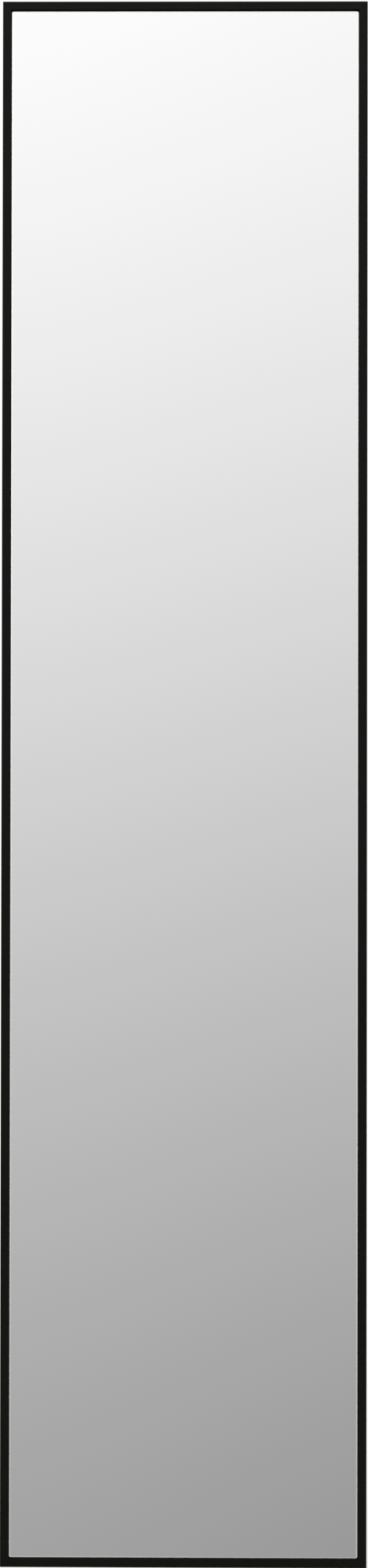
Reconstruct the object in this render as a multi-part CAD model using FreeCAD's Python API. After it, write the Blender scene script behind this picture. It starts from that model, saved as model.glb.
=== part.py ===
import FreeCAD, Part

import math
import os
from FreeCAD import Vector

# Pull-out wardrobe mirror, stored against the side wall of a wardrobe.
#
# Two ball-bearing slides are screwed to the wardrobe's side wall. Their inner members carry an upright
# steel channel, the carrier, and three hinges join the back of a framed mirror panel to that carrier.
# The panel is pulled out of the wardrobe along +X and then swings a quarter turn about the hinges.
#
# Frame: X runs along the slides and +X is the way out, the wall plane is Y = 0 with the whole object
# on its -Y side and the mirror facing -Y, and Z is up. The origin is the centre of the wall screws.
# Stored and shut is the rest position. All sizes are in millimetres.

# ---------------------------------------------------------------- mirror panel
PANEL_WIDTH = 350.0
PANEL_HEIGHT = 1500.0
FRAME_FACE = 8.0             # width of the frame bar seen from the front
FRAME_SIDE_WALL = 1.4        # walls of the hollow bar that face sideways
FRAME_FACE_WALL = 1.6        # front and back walls of the hollow bar
FRAME_EDGE_RADIUS = 0.6      # rounding of the bar's long edges
LEDGE_WIDTH = 12.0           # inward flange that the glass and the board are fixed to
LEDGE_THICKNESS = 1.6
MITRE_GAP = 0.1              # hairline between two mitred bars
GLASS_RECESS = 2.5           # the frame stands this far in front of the glass
GLASS_THICKNESS = 4.0
GLASS_EDGE_GAP = 0.5
GLASS_ARRIS = 1.3            # ground 45 degree edge round the front
GLASS_CORNER_RADIUS = 1.5
FILM_THICKNESS = 0.2         # splinter-holding film on the back of the glass
FILM_MARGIN = 2.0
TAPE_THICKNESS = 1.6
TAPE_WIDTH = 9.0
BOARD_THICKNESS = 9.0
BOARD_EDGE_GAP = 0.5
BOARD_CORNER_RADIUS = 1.0
FOAM_WIDTH = 20.0
FOAM_SPACING = 150.0
FOAM_END_MARGIN = 90.0
SETTING_BLOCK_LENGTH = 30.0
SETTING_BLOCK_SPACING = 180.0

# ---------------------------------------------------------------- corner keys
KEY_CLEARANCE = 0.1
KEY_ARM = 38.0               # from the panel's outer edge to the end of an arm
KEY_CORNER_RADIUS = 0.3
KEY_END_RADIUS = 1.0
KEY_SCREW_INSET = 12.0       # from the end of an arm to its grub screw
GRUB_RADIUS = 2.0
GRUB_LENGTH = 5.0
GRUB_SOCKET_RADIUS = 1.15    # to the socket's corners
GRUB_SOCKET_DEPTH = 2.0
GRUB_CHAMFER = 0.3
GRUB_POINT = 0.8

# ---------------------------------------------------------------- slides
SLIDE_REAR_SETBACK = 5.0     # from the panel's rear edge to the slides' rear ends
SLIDE_HEIGHT = 45.6
SLIDE_THICKNESS = 12.7
MEMBER_SHEET = 1.2
BEND_RADIUS = 1.0            # centre line of a bend in the members' sheet
WEB_RUNNING_GAP = 0.3        # between a web and the web or the stop that runs past it
OUTER_LIP_SETBACK = 1.7      # from the slide's front plane to the outer member's lips
MIDDLE_LIP_SETBACK = 1.4
BALL_RADIUS = 2.0
BALL_CLEARANCE = 0.15
BALLS_PER_ROW = 8
BALL_PITCH = 13.0
RETAINER_SHEET = 0.5
RETAINER_END_MARGIN = 9.5    # from the last ball's middle to the retainer's end
RETAINER_RIM = 0.85          # metal in front of the pockets
POCKET_CLEARANCE = 0.1
STOP_WIDTH = 2.0
STOP_HEIGHT = 12.0
STOP_CLEARANCE = 0.5         # between a stop and the retainer that reaches it
STOP_SETBACK = 16.5          # from a member's front end to its front stop
STOP_ROOT = 0.2              # how deep a stop is formed out of its web
TONGUE_WIDTH = 9.0
TONGUE_ROOT = 4.0
WALL_HOLE_RADIUS = 2.25
WALL_HOLE_SPACING = 256.0
WALL_HOLE_SINK = 0.6
ACCESS_HOLE_RADIUS = 5.0
BUMPER_LENGTH = 6.7
BUMPER_HEIGHT = 30.0
BUMPER_GAP = 0.3             # between a bumper and the shut members
BUMPER_EDGE_RADIUS = 1.2
BUMPER_STUD_RADIUS = 2.5

# ---------------------------------------------------------------- carrier
CARRIER_WIDTH = 60.0
CARRIER_DEPTH = 10.0
CARRIER_SHEET = 2.0
CARRIER_BEND = 1.6           # centre line of a bend
CARRIER_SETBACK = 5.0        # of its front flange, behind the slides' front ends
CARRIER_END_MARGIN = 50.0    # from the end hinges' middles to the carrier's ends
SLIDE_NOTCH_GAP = 1.7
CAP_THICKNESS = 2.0
CAP_EDGE_RADIUS = 0.8
CAP_PLUG_LENGTH = 9.0
CAP_PLUG_GAP = 0.2
CAP_PLUG_SETBACK = 0.5       # from the flanges' edges to the plug
SLIDE_SCREW_SPACING = 30.0
BUFFER_RADIUS = 2.9
BUFFER_EDGE = 1.2
BUFFER_GAP = 0.3             # between a buffer and the open panel
BUFFER_SPACING = 600.0
BUFFER_STEM_RADIUS = 1.5
BUFFER_BARB = 0.7
BUFFER_TAIL = 3.0

# ---------------------------------------------------------------- hinges
HINGE_SETBACK = 15.0         # from the panel's leading edge to the hinge axis
HINGE_END_MARGIN = 150.0     # from the panel's ends to the end hinges' middles
SLIDE_BELOW_HINGE = 120.0    # from an end hinge's middle to a slide's centre line
HINGE_SHEET = 2.4
HINGE_LEAF_HEIGHT = 80.0
LEAF_MARGIN = 8.0            # from the carrier's rear edge to the leaves
LEAF_CORNER_RADIUS = 6.0
LEAF_CRANK = 0.4             # lifts each leaf clear of the other leaf's knuckles
LEAF_KNUCKLE_GAP = 1.1       # between a leaf's edge and the other leaf's knuckle
HINGE_SCREW_INSET = 12.0     # from a leaf's edges to its screws
KNUCKLE_HEIGHT = 26.0        # of the mirror leaf's middle knuckle
KNUCKLE_GAP = 1.0
WASHER_PLAY = 0.05
PIN_RADIUS = 2.95
PIN_CLEARANCE = 0.05
PIN_HEAD_RADIUS = 4.2
PIN_HEAD_HEIGHT = 1.6
PIN_TAIL = 2.4
PIN_CHAMFER = 0.5
CLIP_THICKNESS = 0.8
CLIP_RADIUS = 4.8
CLIP_GROOVE_DEPTH = 0.6
CLIP_MOUTH = 3.5
SWING_CLEARANCE = 3.4        # between the slides' front ends and the back of the open panel
INSERT_RADIUS = 3.0
INSERT_LENGTH = 8.0
INSERT_SPARE = 1.2           # thread left past a hinge screw's point

# ---------------------------------------------------------------- catches
CATCH_LENGTH = 40.0
CATCH_HEIGHT = 20.0
CATCH_CORNER_RADIUS = 3.0
CATCH_EDGE_RADIUS = 1.0
CATCH_SETBACK = 3.0          # from the inner member's rear end to the catch
CATCH_AIR = 0.3              # between a magnet and its strike plate
CATCH_SCREW_INSET = 5.0
CATCH_FLOOR = 3.0
MAGNET_LENGTH = 20.0
MAGNET_HEIGHT = 8.0
MAGNET_DEPTH = 7.5
STRIKE_THICKNESS = 1.2
STRIKE_SCREW_INSET = 7.0
STRIKE_SCREW_SPARE = 2.7     # board left in front of a strike screw's point

# ---------------------------------------------------------------- fasteners
M4_RADIUS = 2.0
M4_HEAD_RADIUS = 3.9
M4_NUT_FLATS = 7.0
M4_NUT_HEIGHT = 3.2
M3_RADIUS = 1.5
M3_HEAD_RADIUS = 2.8
BOARD_SCREW_RADIUS = 1.75
BOARD_SCREW_HEAD_RADIUS = 3.4
BOARD_SCREW_BITE = 1.2       # into the ledge
BOARD_SCREWS_PER_SIDE = 6
BOARD_SCREWS_PER_END = 2
BOARD_SCREW_END_MARGIN = 45.0
SCREW_PAST_NUT = 0.8
HOLE_GAP = 0.1               # round a screw in a clearance hole
THREAD_GAP = 0.03            # round a screw in its thread, or a plug in its seat
HEAD_RIM = 0.2               # straight rim of a countersunk head
SCREW_POINT = 0.4            # chamfer of a screw's point, for a radius of 1
PAN_HEIGHT = 0.62            # height of a pan head, for a head radius of 1
CROSS_WIDTH = 0.32           # cross recess in a head, for a head radius of 1
CROSS_LENGTH = 1.24
CROSS_DEPTH = 0.42
CUT_PAST = 1.0               # how far a cutting shape runs past the face it cuts

# ---------------------------------------------------------------- depths behind the panel's front face
GLASS_FRONT = GLASS_RECESS
GLASS_BACK = GLASS_FRONT + GLASS_THICKNESS
FILM_BACK = GLASS_BACK + FILM_THICKNESS
LEDGE_FRONT = FILM_BACK + TAPE_THICKNESS
LEDGE_BACK = LEDGE_FRONT + LEDGE_THICKNESS
BOARD_BACK = LEDGE_BACK + BOARD_THICKNESS
PANEL_DEPTH = BOARD_BACK + HINGE_SHEET
LEDGE_REACH = FRAME_FACE + LEDGE_WIDTH
LEDGE_MIDDLE = FRAME_FACE + LEDGE_WIDTH / 2

# ---------------------------------------------------------------- hinge axis and panel
PIN_BORE = PIN_RADIUS + PIN_CLEARANCE
KNUCKLE_RADIUS = PIN_BORE + HINGE_SHEET
LEAF_NEAR = PIN_BORE + LEAF_CRANK
LEAF_FAR = LEAF_NEAR + HINGE_SHEET
CARRIER_FRONT_Y = -(SLIDE_THICKNESS + CARRIER_SHEET)
AXIS_X = PANEL_WIDTH / 2 - HINGE_SETBACK
AXIS_Y = CARRIER_FRONT_Y - LEAF_FAR
PANEL_BACK_Y = AXIS_Y - LEAF_NEAR
PANEL_FRONT_Y = PANEL_BACK_Y - PANEL_DEPTH
BOARD_BACK_Y = PANEL_FRONT_Y + BOARD_BACK

# ---------------------------------------------------------------- slides, seen along X
BALL_Y = SLIDE_THICKNESS / 2
RACE_STEP = BALL_RADIUS + BALL_CLEARANCE + MEMBER_SHEET / 2
OUTER_RACE_Z = (SLIDE_HEIGHT - MEMBER_SHEET) / 2
OUTER_BALL_Z = OUTER_RACE_Z - RACE_STEP
MIDDLE_RACE_Z = OUTER_BALL_Z - RACE_STEP
INNER_BALL_Z = MIDDLE_RACE_Z - RACE_STEP
INNER_RACE_Z = INNER_BALL_Z - RACE_STEP
RACE_FLAT = BALL_RADIUS * 0.875          # half the flat bottom of a race, which fits its balls
RACE_FLARE = BALL_RADIUS * 0.7           # run of a race's sloping sides
OUTER_RACE_DEPTH = BALL_RADIUS * 0.85
INNER_RACE_DEPTH = BALL_RADIUS * 0.75
WEB_GAP = RETAINER_SHEET + 2 * WEB_RUNNING_GAP
STOP_RISE = WEB_GAP - WEB_RUNNING_GAP
MIDDLE_WEB_BACK = MEMBER_SHEET + WEB_GAP
MIDDLE_WEB_FRONT = MIDDLE_WEB_BACK + MEMBER_SHEET
INNER_WEB_BACK = SLIDE_THICKNESS - MEMBER_SHEET

# ---------------------------------------------------------------- slides, along X
SLIDE_FRONT_X = AXIS_X + LEAF_NEAR - SWING_CLEARANCE
SLIDE_REAR_X = SLIDE_REAR_SETBACK - PANEL_WIDTH / 2
SLIDE_LENGTH = SLIDE_FRONT_X - SLIDE_REAR_X
MOVING_REAR_X = SLIDE_REAR_X + BUMPER_LENGTH + BUMPER_GAP
MOVING_LENGTH = SLIDE_FRONT_X - MOVING_REAR_X
RETAINER_X = (MOVING_REAR_X + SLIDE_FRONT_X) / 2
RETAINER_LENGTH = (BALLS_PER_ROW - 1) * BALL_PITCH + 2 * RETAINER_END_MARGIN
FRONT_STOP_X = SLIDE_FRONT_X - STOP_SETBACK - STOP_WIDTH
REAR_STOP_X = 2 * RETAINER_X - FRONT_STOP_X
RETAINER_TRAVEL = FRONT_STOP_X - STOP_CLEARANCE - RETAINER_X - RETAINER_LENGTH / 2
MIDDLE_TRAVEL = 2 * RETAINER_TRAVEL      # a ball rolls half as far as the member it carries
SLIDE_TRAVEL = 2 * MIDDLE_TRAVEL
ACCESS_HOLE_X = WALL_HOLE_SPACING / 2 - MIDDLE_TRAVEL
CATCH_X = MOVING_REAR_X + CATCH_SETBACK + CATCH_LENGTH / 2

# ---------------------------------------------------------------- carrier, hinges and catches
CARRIER_FRONT_X = SLIDE_FRONT_X - CARRIER_SETBACK
CARRIER_REAR_X = CARRIER_FRONT_X - CARRIER_WIDTH
CARRIER_MIDDLE_X = (CARRIER_FRONT_X + CARRIER_REAR_X) / 2
CARRIER_FLANGE_Y = CARRIER_FRONT_Y + CARRIER_DEPTH
LEAF_REAR_X = CARRIER_REAR_X + LEAF_MARGIN
LEAF_FRONT_X = AXIS_X - KNUCKLE_RADIUS - LEAF_KNUCKLE_GAP
HINGE_TOP_Z = PANEL_HEIGHT / 2 - HINGE_END_MARGIN
SLIDE_TOP_Z = HINGE_TOP_Z - SLIDE_BELOW_HINGE
CARRIER_TOP_Z = HINGE_TOP_Z + CARRIER_END_MARGIN
HINGES = {"bottom": -HINGE_TOP_Z, "middle": 0.0, "top": HINGE_TOP_Z}
SLIDES = {"lower": -SLIDE_TOP_Z, "upper": SLIDE_TOP_Z}
BUFFER_Y = AXIS_Y + HINGE_SETBACK - FRAME_FACE / 2     # middle of the open panel's front stile
CATCH_FRONT_Y = BOARD_BACK_Y + STRIKE_THICKNESS + CATCH_AIR


# ---------------------------------------------------------------- drawing helpers
def rounded_wire(corners, place):
    """Closed outline through corners (a, b, radius), each drawn as a point or a tangent arc."""
    spans = []
    for i, (a, b, radius) in enumerate(corners):
        here = Vector(a, b, 0)
        if radius <= 0:
            spans.append([here])
            continue
        before = Vector(*corners[i - 1][:2], 0)
        after = Vector(*corners[(i + 1) % len(corners)][:2], 0)
        spans.append(corner_arc(before, here, after, radius))
    return span_wire(spans, place)


def span_wire(spans, place):
    """Closed wire through points and three-point arcs, joined by straight lines."""
    edges = []
    for i, span in enumerate(spans):
        if len(span) == 3:
            edges.append(Part.Arc(*[place(p.x, p.y) for p in span]).toShape())
        start = span[-1]
        end = spans[(i + 1) % len(spans)][0]
        if (end - start).Length > 1e-6:
            edges.append(Part.makeLine(place(start.x, start.y), place(end.x, end.y)))
    return Part.Wire(edges)


def unit(vector):
    return vector / vector.Length


def corner_arc(before, corner, after, radius):
    """Start, middle and end of the arc that rounds a corner between two straight runs."""
    back = unit(before - corner)
    on = unit(after - corner)
    half = back.getAngle(on) / 2
    reach = radius / math.tan(half)
    to_middle = radius / math.sin(half) - radius
    return [corner + back * reach, corner + unit(back + on) * to_middle, corner + on * reach]


def prism(corners, place, along):
    """Solid with a rounded outline, drawn out along a vector."""
    return Part.Face(rounded_wire(corners, place)).extrude(along)


def bent_strip(path, sheet, radius, place, along):
    """Sheet of even thickness whose middle follows path, with a bend at every inner point."""
    points = [Vector(a, b, 0) for a, b in path]
    there = strip_side(points, sheet / 2, radius)
    back = strip_side(points, -sheet / 2, radius)
    spans = there + [span[::-1] for span in back[::-1]]
    return Part.Face(span_wire(spans, place)).extrude(along)


def strip_side(points, offset, radius):
    """One side of a strip, offset to the left of its middle: its ends and an arc at each bend."""
    def left(direction):
        return Vector(-direction.y, direction.x, 0) * offset

    first = unit(points[1] - points[0])
    last = unit(points[-1] - points[-2])
    spans = [[points[0] + left(first)]]
    for before, here, after in zip(points, points[1:], points[2:]):
        start, middle, end = corner_arc(before, here, after, radius)
        centre = here + unit(middle - here) * ((middle - here).Length + radius)
        inward = unit(centre - here)
        turn = math.copysign(1.0, left(unit(here - before)).dot(inward) * offset)
        arc_middle = centre - inward * (radius - offset * turn)
        spans.append([start + left(unit(here - before)), arc_middle, end + left(unit(after - here))])
    spans.append([points[-1] + left(last)])
    return spans


def block(x, y, z):
    """Box between pairs of coordinates."""
    low = Vector(min(x), min(y), min(z))
    return Part.makeBox(abs(x[1] - x[0]), abs(y[1] - y[0]), abs(z[1] - z[0]), low)


def rod(radius, start, end):
    """Cylinder from one point to another."""
    return Part.makeCylinder(radius, (end - start).Length, start, end - start)


def turned(profile, start, along):
    """Solid of revolution: profile is (radius, distance) from start along an axis."""
    axis = Vector(along)
    axis.normalize()
    across = axis.cross(Vector(0, 0, 1))
    if across.Length < 0.5:
        across = Vector(1, 0, 0)
    points = [start + across * radius + axis * distance for radius, distance in profile]
    face = Part.Face(Part.makePolygon(points + points[:1]))
    return face.revolve(start, axis, 360)


def hexagon(middle, across, up):
    """Regular hexagon with one corner at middle + across."""
    corners = []
    for i in range(7):
        angle = math.radians(60 * i)
        corners.append(middle + across * math.cos(angle) + up * math.sin(angle))
    return Part.Face(Part.makePolygon(corners))


def around(middle, spacing):
    return (middle - spacing / 2, middle + spacing / 2)


def even_places(count, reach):
    """count places spread evenly from -reach to reach."""
    return [-reach + 2 * reach * i / (count - 1) for i in range(count)]


def group(solids):
    return Part.makeCompound(solids)


# ---------------------------------------------------------------- fasteners
def along_y(x, z, radius, start_y, end_y):
    return rod(radius, Vector(x, start_y, z), Vector(x, end_y, z))


def through(places, radius, start_y, end_y):
    """Round holes along Y at (x, z) places."""
    return [along_y(x, z, radius, start_y, end_y) for x, z in places]


def cross_recess(x, y, z, inward, head_radius):
    """Two crossed slots in the top of a screw head, for a cross-head driver."""
    depth = head_radius * CROSS_DEPTH
    slots_y = (y - inward * CUT_PAST, y + inward * depth)
    wide = around(x, head_radius * CROSS_LENGTH)
    tall = around(z, head_radius * CROSS_LENGTH)
    narrow_x = around(x, head_radius * CROSS_WIDTH)
    narrow_z = around(z, head_radius * CROSS_WIDTH)
    return [block(narrow_x, slots_y, tall), block(wide, slots_y, narrow_z)]


def sunk_screw(x, y, z, inward, radius, head_radius, length):
    """Countersunk screw along Y, its head flush with y and its point length further inward."""
    point = radius * SCREW_POINT
    cone_end = HEAD_RIM + head_radius - radius
    profile = [
        (0, 0), (head_radius, 0), (head_radius, HEAD_RIM), (radius, cone_end),
        (radius, length - point), (radius - point, length), (0, length),
    ]
    body = turned(profile, Vector(x, y, z), Vector(0, inward, 0))
    return body.cut(cross_recess(x, y, z, inward, head_radius))


def sunk_hole(x, y, z, inward, radius, head_radius, depth, gap):
    """Space for a countersunk screw, with a gap round its shank and its head."""
    wide = head_radius + gap
    cone_end = HEAD_RIM + head_radius - radius
    profile = [
        (0, -CUT_PAST), (wide, -CUT_PAST), (wide, HEAD_RIM), (radius + gap, cone_end),
        (radius + gap, depth), (0, depth),
    ]
    return turned(profile, Vector(x, y, z), Vector(0, inward, 0))


def pan_screw(x, y, z, inward, radius, head_radius, length):
    """Pan-head screw along Y, seated on y, its point length further inward."""
    point = radius * SCREW_POINT
    height = head_radius * PAN_HEIGHT
    profile = [
        (0, -height), (head_radius * 0.55, -height), (head_radius * 0.88, -height * 0.8),
        (head_radius, -height * 0.45), (head_radius, 0), (radius, 0),
        (radius, length - point), (radius - point, length), (0, length),
    ]
    body = turned(profile, Vector(x, y, z), Vector(0, inward, 0))
    return body.cut(cross_recess(x, y - inward * height, z, inward, head_radius))


def m4_nut(x, y, z, inward):
    """Hexagon nut along Y, seated on y, with its corners chamfered."""
    corner = M4_NUT_FLATS / math.sqrt(3)
    height = M4_NUT_HEIGHT
    prism_y = Vector(0, inward * height, 0)
    body = hexagon(Vector(x, y, z), Vector(corner, 0, 0), Vector(0, 0, corner)).extrude(prism_y)
    drop = (corner - M4_NUT_FLATS / 2) * math.tan(math.radians(30))
    profile = [
        (0, 0), (M4_NUT_FLATS / 2, 0), (corner, drop), (corner, height - drop),
        (M4_NUT_FLATS / 2, height), (0, height),
    ]
    body = body.common(turned(profile, Vector(x, y, z), Vector(0, inward, 0)))
    far_y = y + inward * (height + CUT_PAST)
    return body.cut(along_y(x, z, M4_RADIUS + THREAD_GAP, y - inward * CUT_PAST, far_y))


# ---------------------------------------------------------------- panel frame
def panel_y(depth):
    """Y of a layer at a depth behind the panel's front face."""
    return PANEL_FRONT_Y + depth


def frame_section(place, along):
    """Hollow bar with a ledge: inward distance across, depth behind the front face up."""
    r = FRAME_EDGE_RADIUS
    outline = [
        (0, 0, r), (FRAME_FACE, 0, r), (FRAME_FACE, LEDGE_FRONT, 0), (LEDGE_REACH, LEDGE_FRONT, 0),
        (LEDGE_REACH, LEDGE_BACK, 0), (FRAME_FACE, LEDGE_BACK, 0), (FRAME_FACE, PANEL_DEPTH, r),
        (0, PANEL_DEPTH, r),
    ]
    near = FRAME_SIDE_WALL
    far = FRAME_FACE - FRAME_SIDE_WALL
    front = FRAME_FACE_WALL
    back = PANEL_DEPTH - FRAME_FACE_WALL
    hollow = [(near, front, 0), (far, front, 0), (far, back, 0), (near, back, 0)]
    return prism(outline, place, along).cut(prism(hollow, place, along))


def mitre_block(upright, side):
    """Everything between the two mitre planes of one bar, less the hairline."""
    outer = (PANEL_HEIGHT if upright else PANEL_WIDTH) / 2 - MITRE_GAP / 2
    across = (PANEL_WIDTH if upright else PANEL_HEIGHT) / 2
    reach = LEDGE_REACH + CUT_PAST
    corners = [
        (side * across, -outer), (side * across, outer),
        (side * (across - reach), outer - reach), (side * (across - reach), reach - outer),
    ]
    front = PANEL_FRONT_Y - CUT_PAST
    points = [Vector(a, front, b) if upright else Vector(b, front, a) for a, b in corners]
    face = Part.Face(Part.makePolygon(points + points[:1]))
    return face.extrude(Vector(0, PANEL_DEPTH + 2 * CUT_PAST, 0))


def grub_places(sx, sz):
    """One corner's two grub screws: (place on the bar's inner wall, outward direction)."""
    y = panel_y((LEDGE_BACK + BOARD_BACK) / 2)
    wall_x = sx * (PANEL_WIDTH / 2 - FRAME_FACE)
    wall_z = sz * (PANEL_HEIGHT / 2 - FRAME_FACE)
    along_x = sx * (PANEL_WIDTH / 2 - KEY_ARM + KEY_SCREW_INSET)
    along_z = sz * (PANEL_HEIGHT / 2 - KEY_ARM + KEY_SCREW_INSET)
    in_stile = (Vector(wall_x, y, along_z), Vector(sx, 0, 0))
    in_rail = (Vector(along_x, y, wall_z), Vector(0, 0, sz))
    return [in_stile, in_rail]


def all_grub_places():
    return [place for sx in (-1, 1) for sz in (-1, 1) for place in grub_places(sx, sz)]


def frame_bar(upright, side):
    """One mitred bar: side 1 is the front stile or the top rail, side -1 is its opposite."""
    def stile_place(across, depth):
        return Vector(side * (PANEL_WIDTH / 2 - across), panel_y(depth), -PANEL_HEIGHT / 2)

    def rail_place(across, depth):
        return Vector(-PANEL_WIDTH / 2, panel_y(depth), side * (PANEL_HEIGHT / 2 - across))

    if upright:
        bar = frame_section(stile_place, Vector(0, 0, PANEL_HEIGHT))
        outward = Vector(side, 0, 0)
    else:
        bar = frame_section(rail_place, Vector(PANEL_WIDTH, 0, 0))
        outward = Vector(0, 0, side)
    bar = bar.common(mitre_block(upright, side))
    tools = board_screw_holes(THREAD_GAP)
    for place, direction in all_grub_places():
        if direction.dot(outward) > 0:
            start = place - direction * CUT_PAST
            end = place + direction * (FRAME_SIDE_WALL + CUT_PAST)
            tools.append(rod(GRUB_RADIUS + HOLE_GAP, start, end))
    return bar.cut(tools)


def corner_key(sx, sz):
    """Solid angle piece that fills the hollow of two bars at one corner."""
    near = FRAME_SIDE_WALL + KEY_CLEARANCE
    far = FRAME_FACE - FRAME_SIDE_WALL - KEY_CLEARANCE
    front = FRAME_FACE_WALL + KEY_CLEARANCE
    back = PANEL_DEPTH - FRAME_FACE_WALL - KEY_CLEARANCE
    end = KEY_END_RADIUS
    corners = [
        (near, near, KEY_CORNER_RADIUS), (KEY_ARM, near, end), (KEY_ARM, far, end),
        (far, far, KEY_CORNER_RADIUS), (far, KEY_ARM, end), (near, KEY_ARM, end),
    ]

    def place(across, up):
        x = sx * (PANEL_WIDTH / 2 - across)
        return Vector(x, panel_y(front), sz * (PANEL_HEIGHT / 2 - up))
    key = prism(corners, place, Vector(0, back - front, 0))
    tools = []
    for start, outward in grub_places(sx, sz):
        end = start + outward * (FRAME_FACE - FRAME_SIDE_WALL)
        tools.append(rod(GRUB_RADIUS + THREAD_GAP, start, end))
    return key.cut(tools)


def grub_screws():
    """Headless screws with a hexagon socket, flush with the bar's inner wall."""
    profile = [
        (0, 0), (GRUB_RADIUS - GRUB_CHAMFER, 0), (GRUB_RADIUS, GRUB_CHAMFER),
        (GRUB_RADIUS, GRUB_LENGTH - GRUB_POINT), (GRUB_RADIUS - GRUB_POINT, GRUB_LENGTH),
        (0, GRUB_LENGTH),
    ]
    solids = []
    for place, outward in all_grub_places():
        across = Vector(outward.z, 0, outward.x) * GRUB_SOCKET_RADIUS
        up = Vector(0, GRUB_SOCKET_RADIUS, 0)
        socket = hexagon(place - outward * CUT_PAST, across, up)
        socket = socket.extrude(outward * (GRUB_SOCKET_DEPTH + CUT_PAST))
        solids.append(turned(profile, place, outward).cut(socket))
    return group(solids)


# ---------------------------------------------------------------- glass and its backing
def slab(edge_inset, radius, front, back):
    """Upright rounded plate inside the panel's outline, between two depths."""
    half_x = PANEL_WIDTH / 2 - edge_inset
    half_z = PANEL_HEIGHT / 2 - edge_inset
    corners = [
        (-half_x, -half_z, radius), (half_x, -half_z, radius),
        (half_x, half_z, radius), (-half_x, half_z, radius),
    ]

    def place(x, z):
        return Vector(x, panel_y(front), z)
    return prism(corners, place, Vector(0, back - front, 0))


def mirror_glass():
    """Silvered pane with a ground 45 degree arris round its front."""
    pane = slab(FRAME_FACE + GLASS_EDGE_GAP, GLASS_CORNER_RADIUS, GLASS_FRONT, GLASS_BACK)
    front_y = panel_y(GLASS_FRONT)
    rim = []
    for edge in pane.Edges:
        box = edge.BoundBox
        if max(abs(box.YMin - front_y), abs(box.YMax - front_y)) < 1e-6:
            rim.append(edge)
    return pane.makeChamfer(GLASS_ARRIS, rim)


def safety_film():
    inset = FRAME_FACE + GLASS_EDGE_GAP + FILM_MARGIN
    return slab(inset, GLASS_CORNER_RADIUS, GLASS_BACK, FILM_BACK)


def ledge_tape():
    """Foam tape in four lengths on the ledge, butted at the corners."""
    depths = (panel_y(FILM_BACK), panel_y(LEDGE_FRONT))
    near = LEDGE_MIDDLE - TAPE_WIDTH / 2
    far = LEDGE_MIDDLE + TAPE_WIDTH / 2
    wide = PANEL_WIDTH / 2
    tall = PANEL_HEIGHT / 2
    solids = []
    for s in (-1, 1):
        solids.append(block((s * (wide - near), s * (wide - far)), depths, (near - tall, tall - near)))
        solids.append(block((far - wide, wide - far), depths, (s * (tall - near), s * (tall - far))))
    return group(solids)


def foam_strips():
    """Upright foam strips between the film and the board, which keep the glass from drumming."""
    depths = (panel_y(FILM_BACK), panel_y(LEDGE_BACK))
    height = around(0, PANEL_HEIGHT - 2 * FOAM_END_MARGIN)
    return group([block(around(x, FOAM_WIDTH), depths, height) for x in around(0, FOAM_SPACING)])


def setting_blocks():
    """Thin pads under the glass, on the bottom bar."""
    depths = (panel_y(GLASS_FRONT + GLASS_ARRIS), panel_y(GLASS_BACK))
    floor = FRAME_FACE - PANEL_HEIGHT / 2
    rise = (floor, floor + GLASS_EDGE_GAP)
    places = around(0, SETTING_BLOCK_SPACING)
    return group([block(around(x, SETTING_BLOCK_LENGTH), depths, rise) for x in places])


def board_screw_places():
    side_x = PANEL_WIDTH / 2 - LEDGE_MIDDLE
    end_z = PANEL_HEIGHT / 2 - LEDGE_MIDDLE
    places = []
    for s in (-1, 1):
        for z in even_places(BOARD_SCREWS_PER_SIDE, end_z - BOARD_SCREW_END_MARGIN):
            places.append((s * side_x, z))
        for x in even_places(BOARD_SCREWS_PER_END, side_x - BOARD_SCREW_END_MARGIN):
            places.append((x, s * end_z))
    return places


def board_screw_holes(gap):
    depth = BOARD_THICKNESS + LEDGE_THICKNESS + CUT_PAST
    radius = BOARD_SCREW_RADIUS
    head = BOARD_SCREW_HEAD_RADIUS
    places = board_screw_places()
    return [sunk_hole(x, BOARD_BACK_Y, z, -1, radius, head, depth, gap) for x, z in places]


def board_screws():
    length = BOARD_THICKNESS + BOARD_SCREW_BITE
    radius = BOARD_SCREW_RADIUS
    head = BOARD_SCREW_HEAD_RADIUS
    places = board_screw_places()
    return group([sunk_screw(x, BOARD_BACK_Y, z, -1, radius, head, length) for x, z in places])


def leaf_screw_places(hinge_z):
    half = HINGE_LEAF_HEIGHT / 2 - HINGE_SCREW_INSET
    columns = (LEAF_REAR_X + HINGE_SCREW_INSET, LEAF_FRONT_X - HINGE_SCREW_INSET)
    return [(x, hinge_z + s * half) for x in columns for s in (-1, 1)]


def all_leaf_screw_places():
    return [place for z in HINGES.values() for place in leaf_screw_places(z)]


def strike_screw_places():
    spacing = CATCH_LENGTH - 2 * STRIKE_SCREW_INSET
    return [(x, z) for x in around(CATCH_X, spacing) for z in SLIDES.values()]


def strike_screw_holes(gap):
    top = BOARD_BACK_Y + STRIKE_THICKNESS
    depth = STRIKE_THICKNESS + BOARD_THICKNESS - STRIKE_SCREW_SPARE / 2
    places = strike_screw_places()
    return [sunk_hole(x, top, z, -1, M3_RADIUS, M3_HEAD_RADIUS, depth, gap) for x, z in places]


def back_board():
    inset = FRAME_FACE + BOARD_EDGE_GAP
    board = slab(inset, BOARD_CORNER_RADIUS, LEDGE_BACK, BOARD_BACK)
    tools = board_screw_holes(HOLE_GAP) + strike_screw_holes(THREAD_GAP)
    hole = INSERT_RADIUS + THREAD_GAP
    bottom = BOARD_BACK_Y - INSERT_LENGTH
    tools += through(all_leaf_screw_places(), hole, BOARD_BACK_Y + CUT_PAST, bottom)
    return board.cut(tools)


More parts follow.
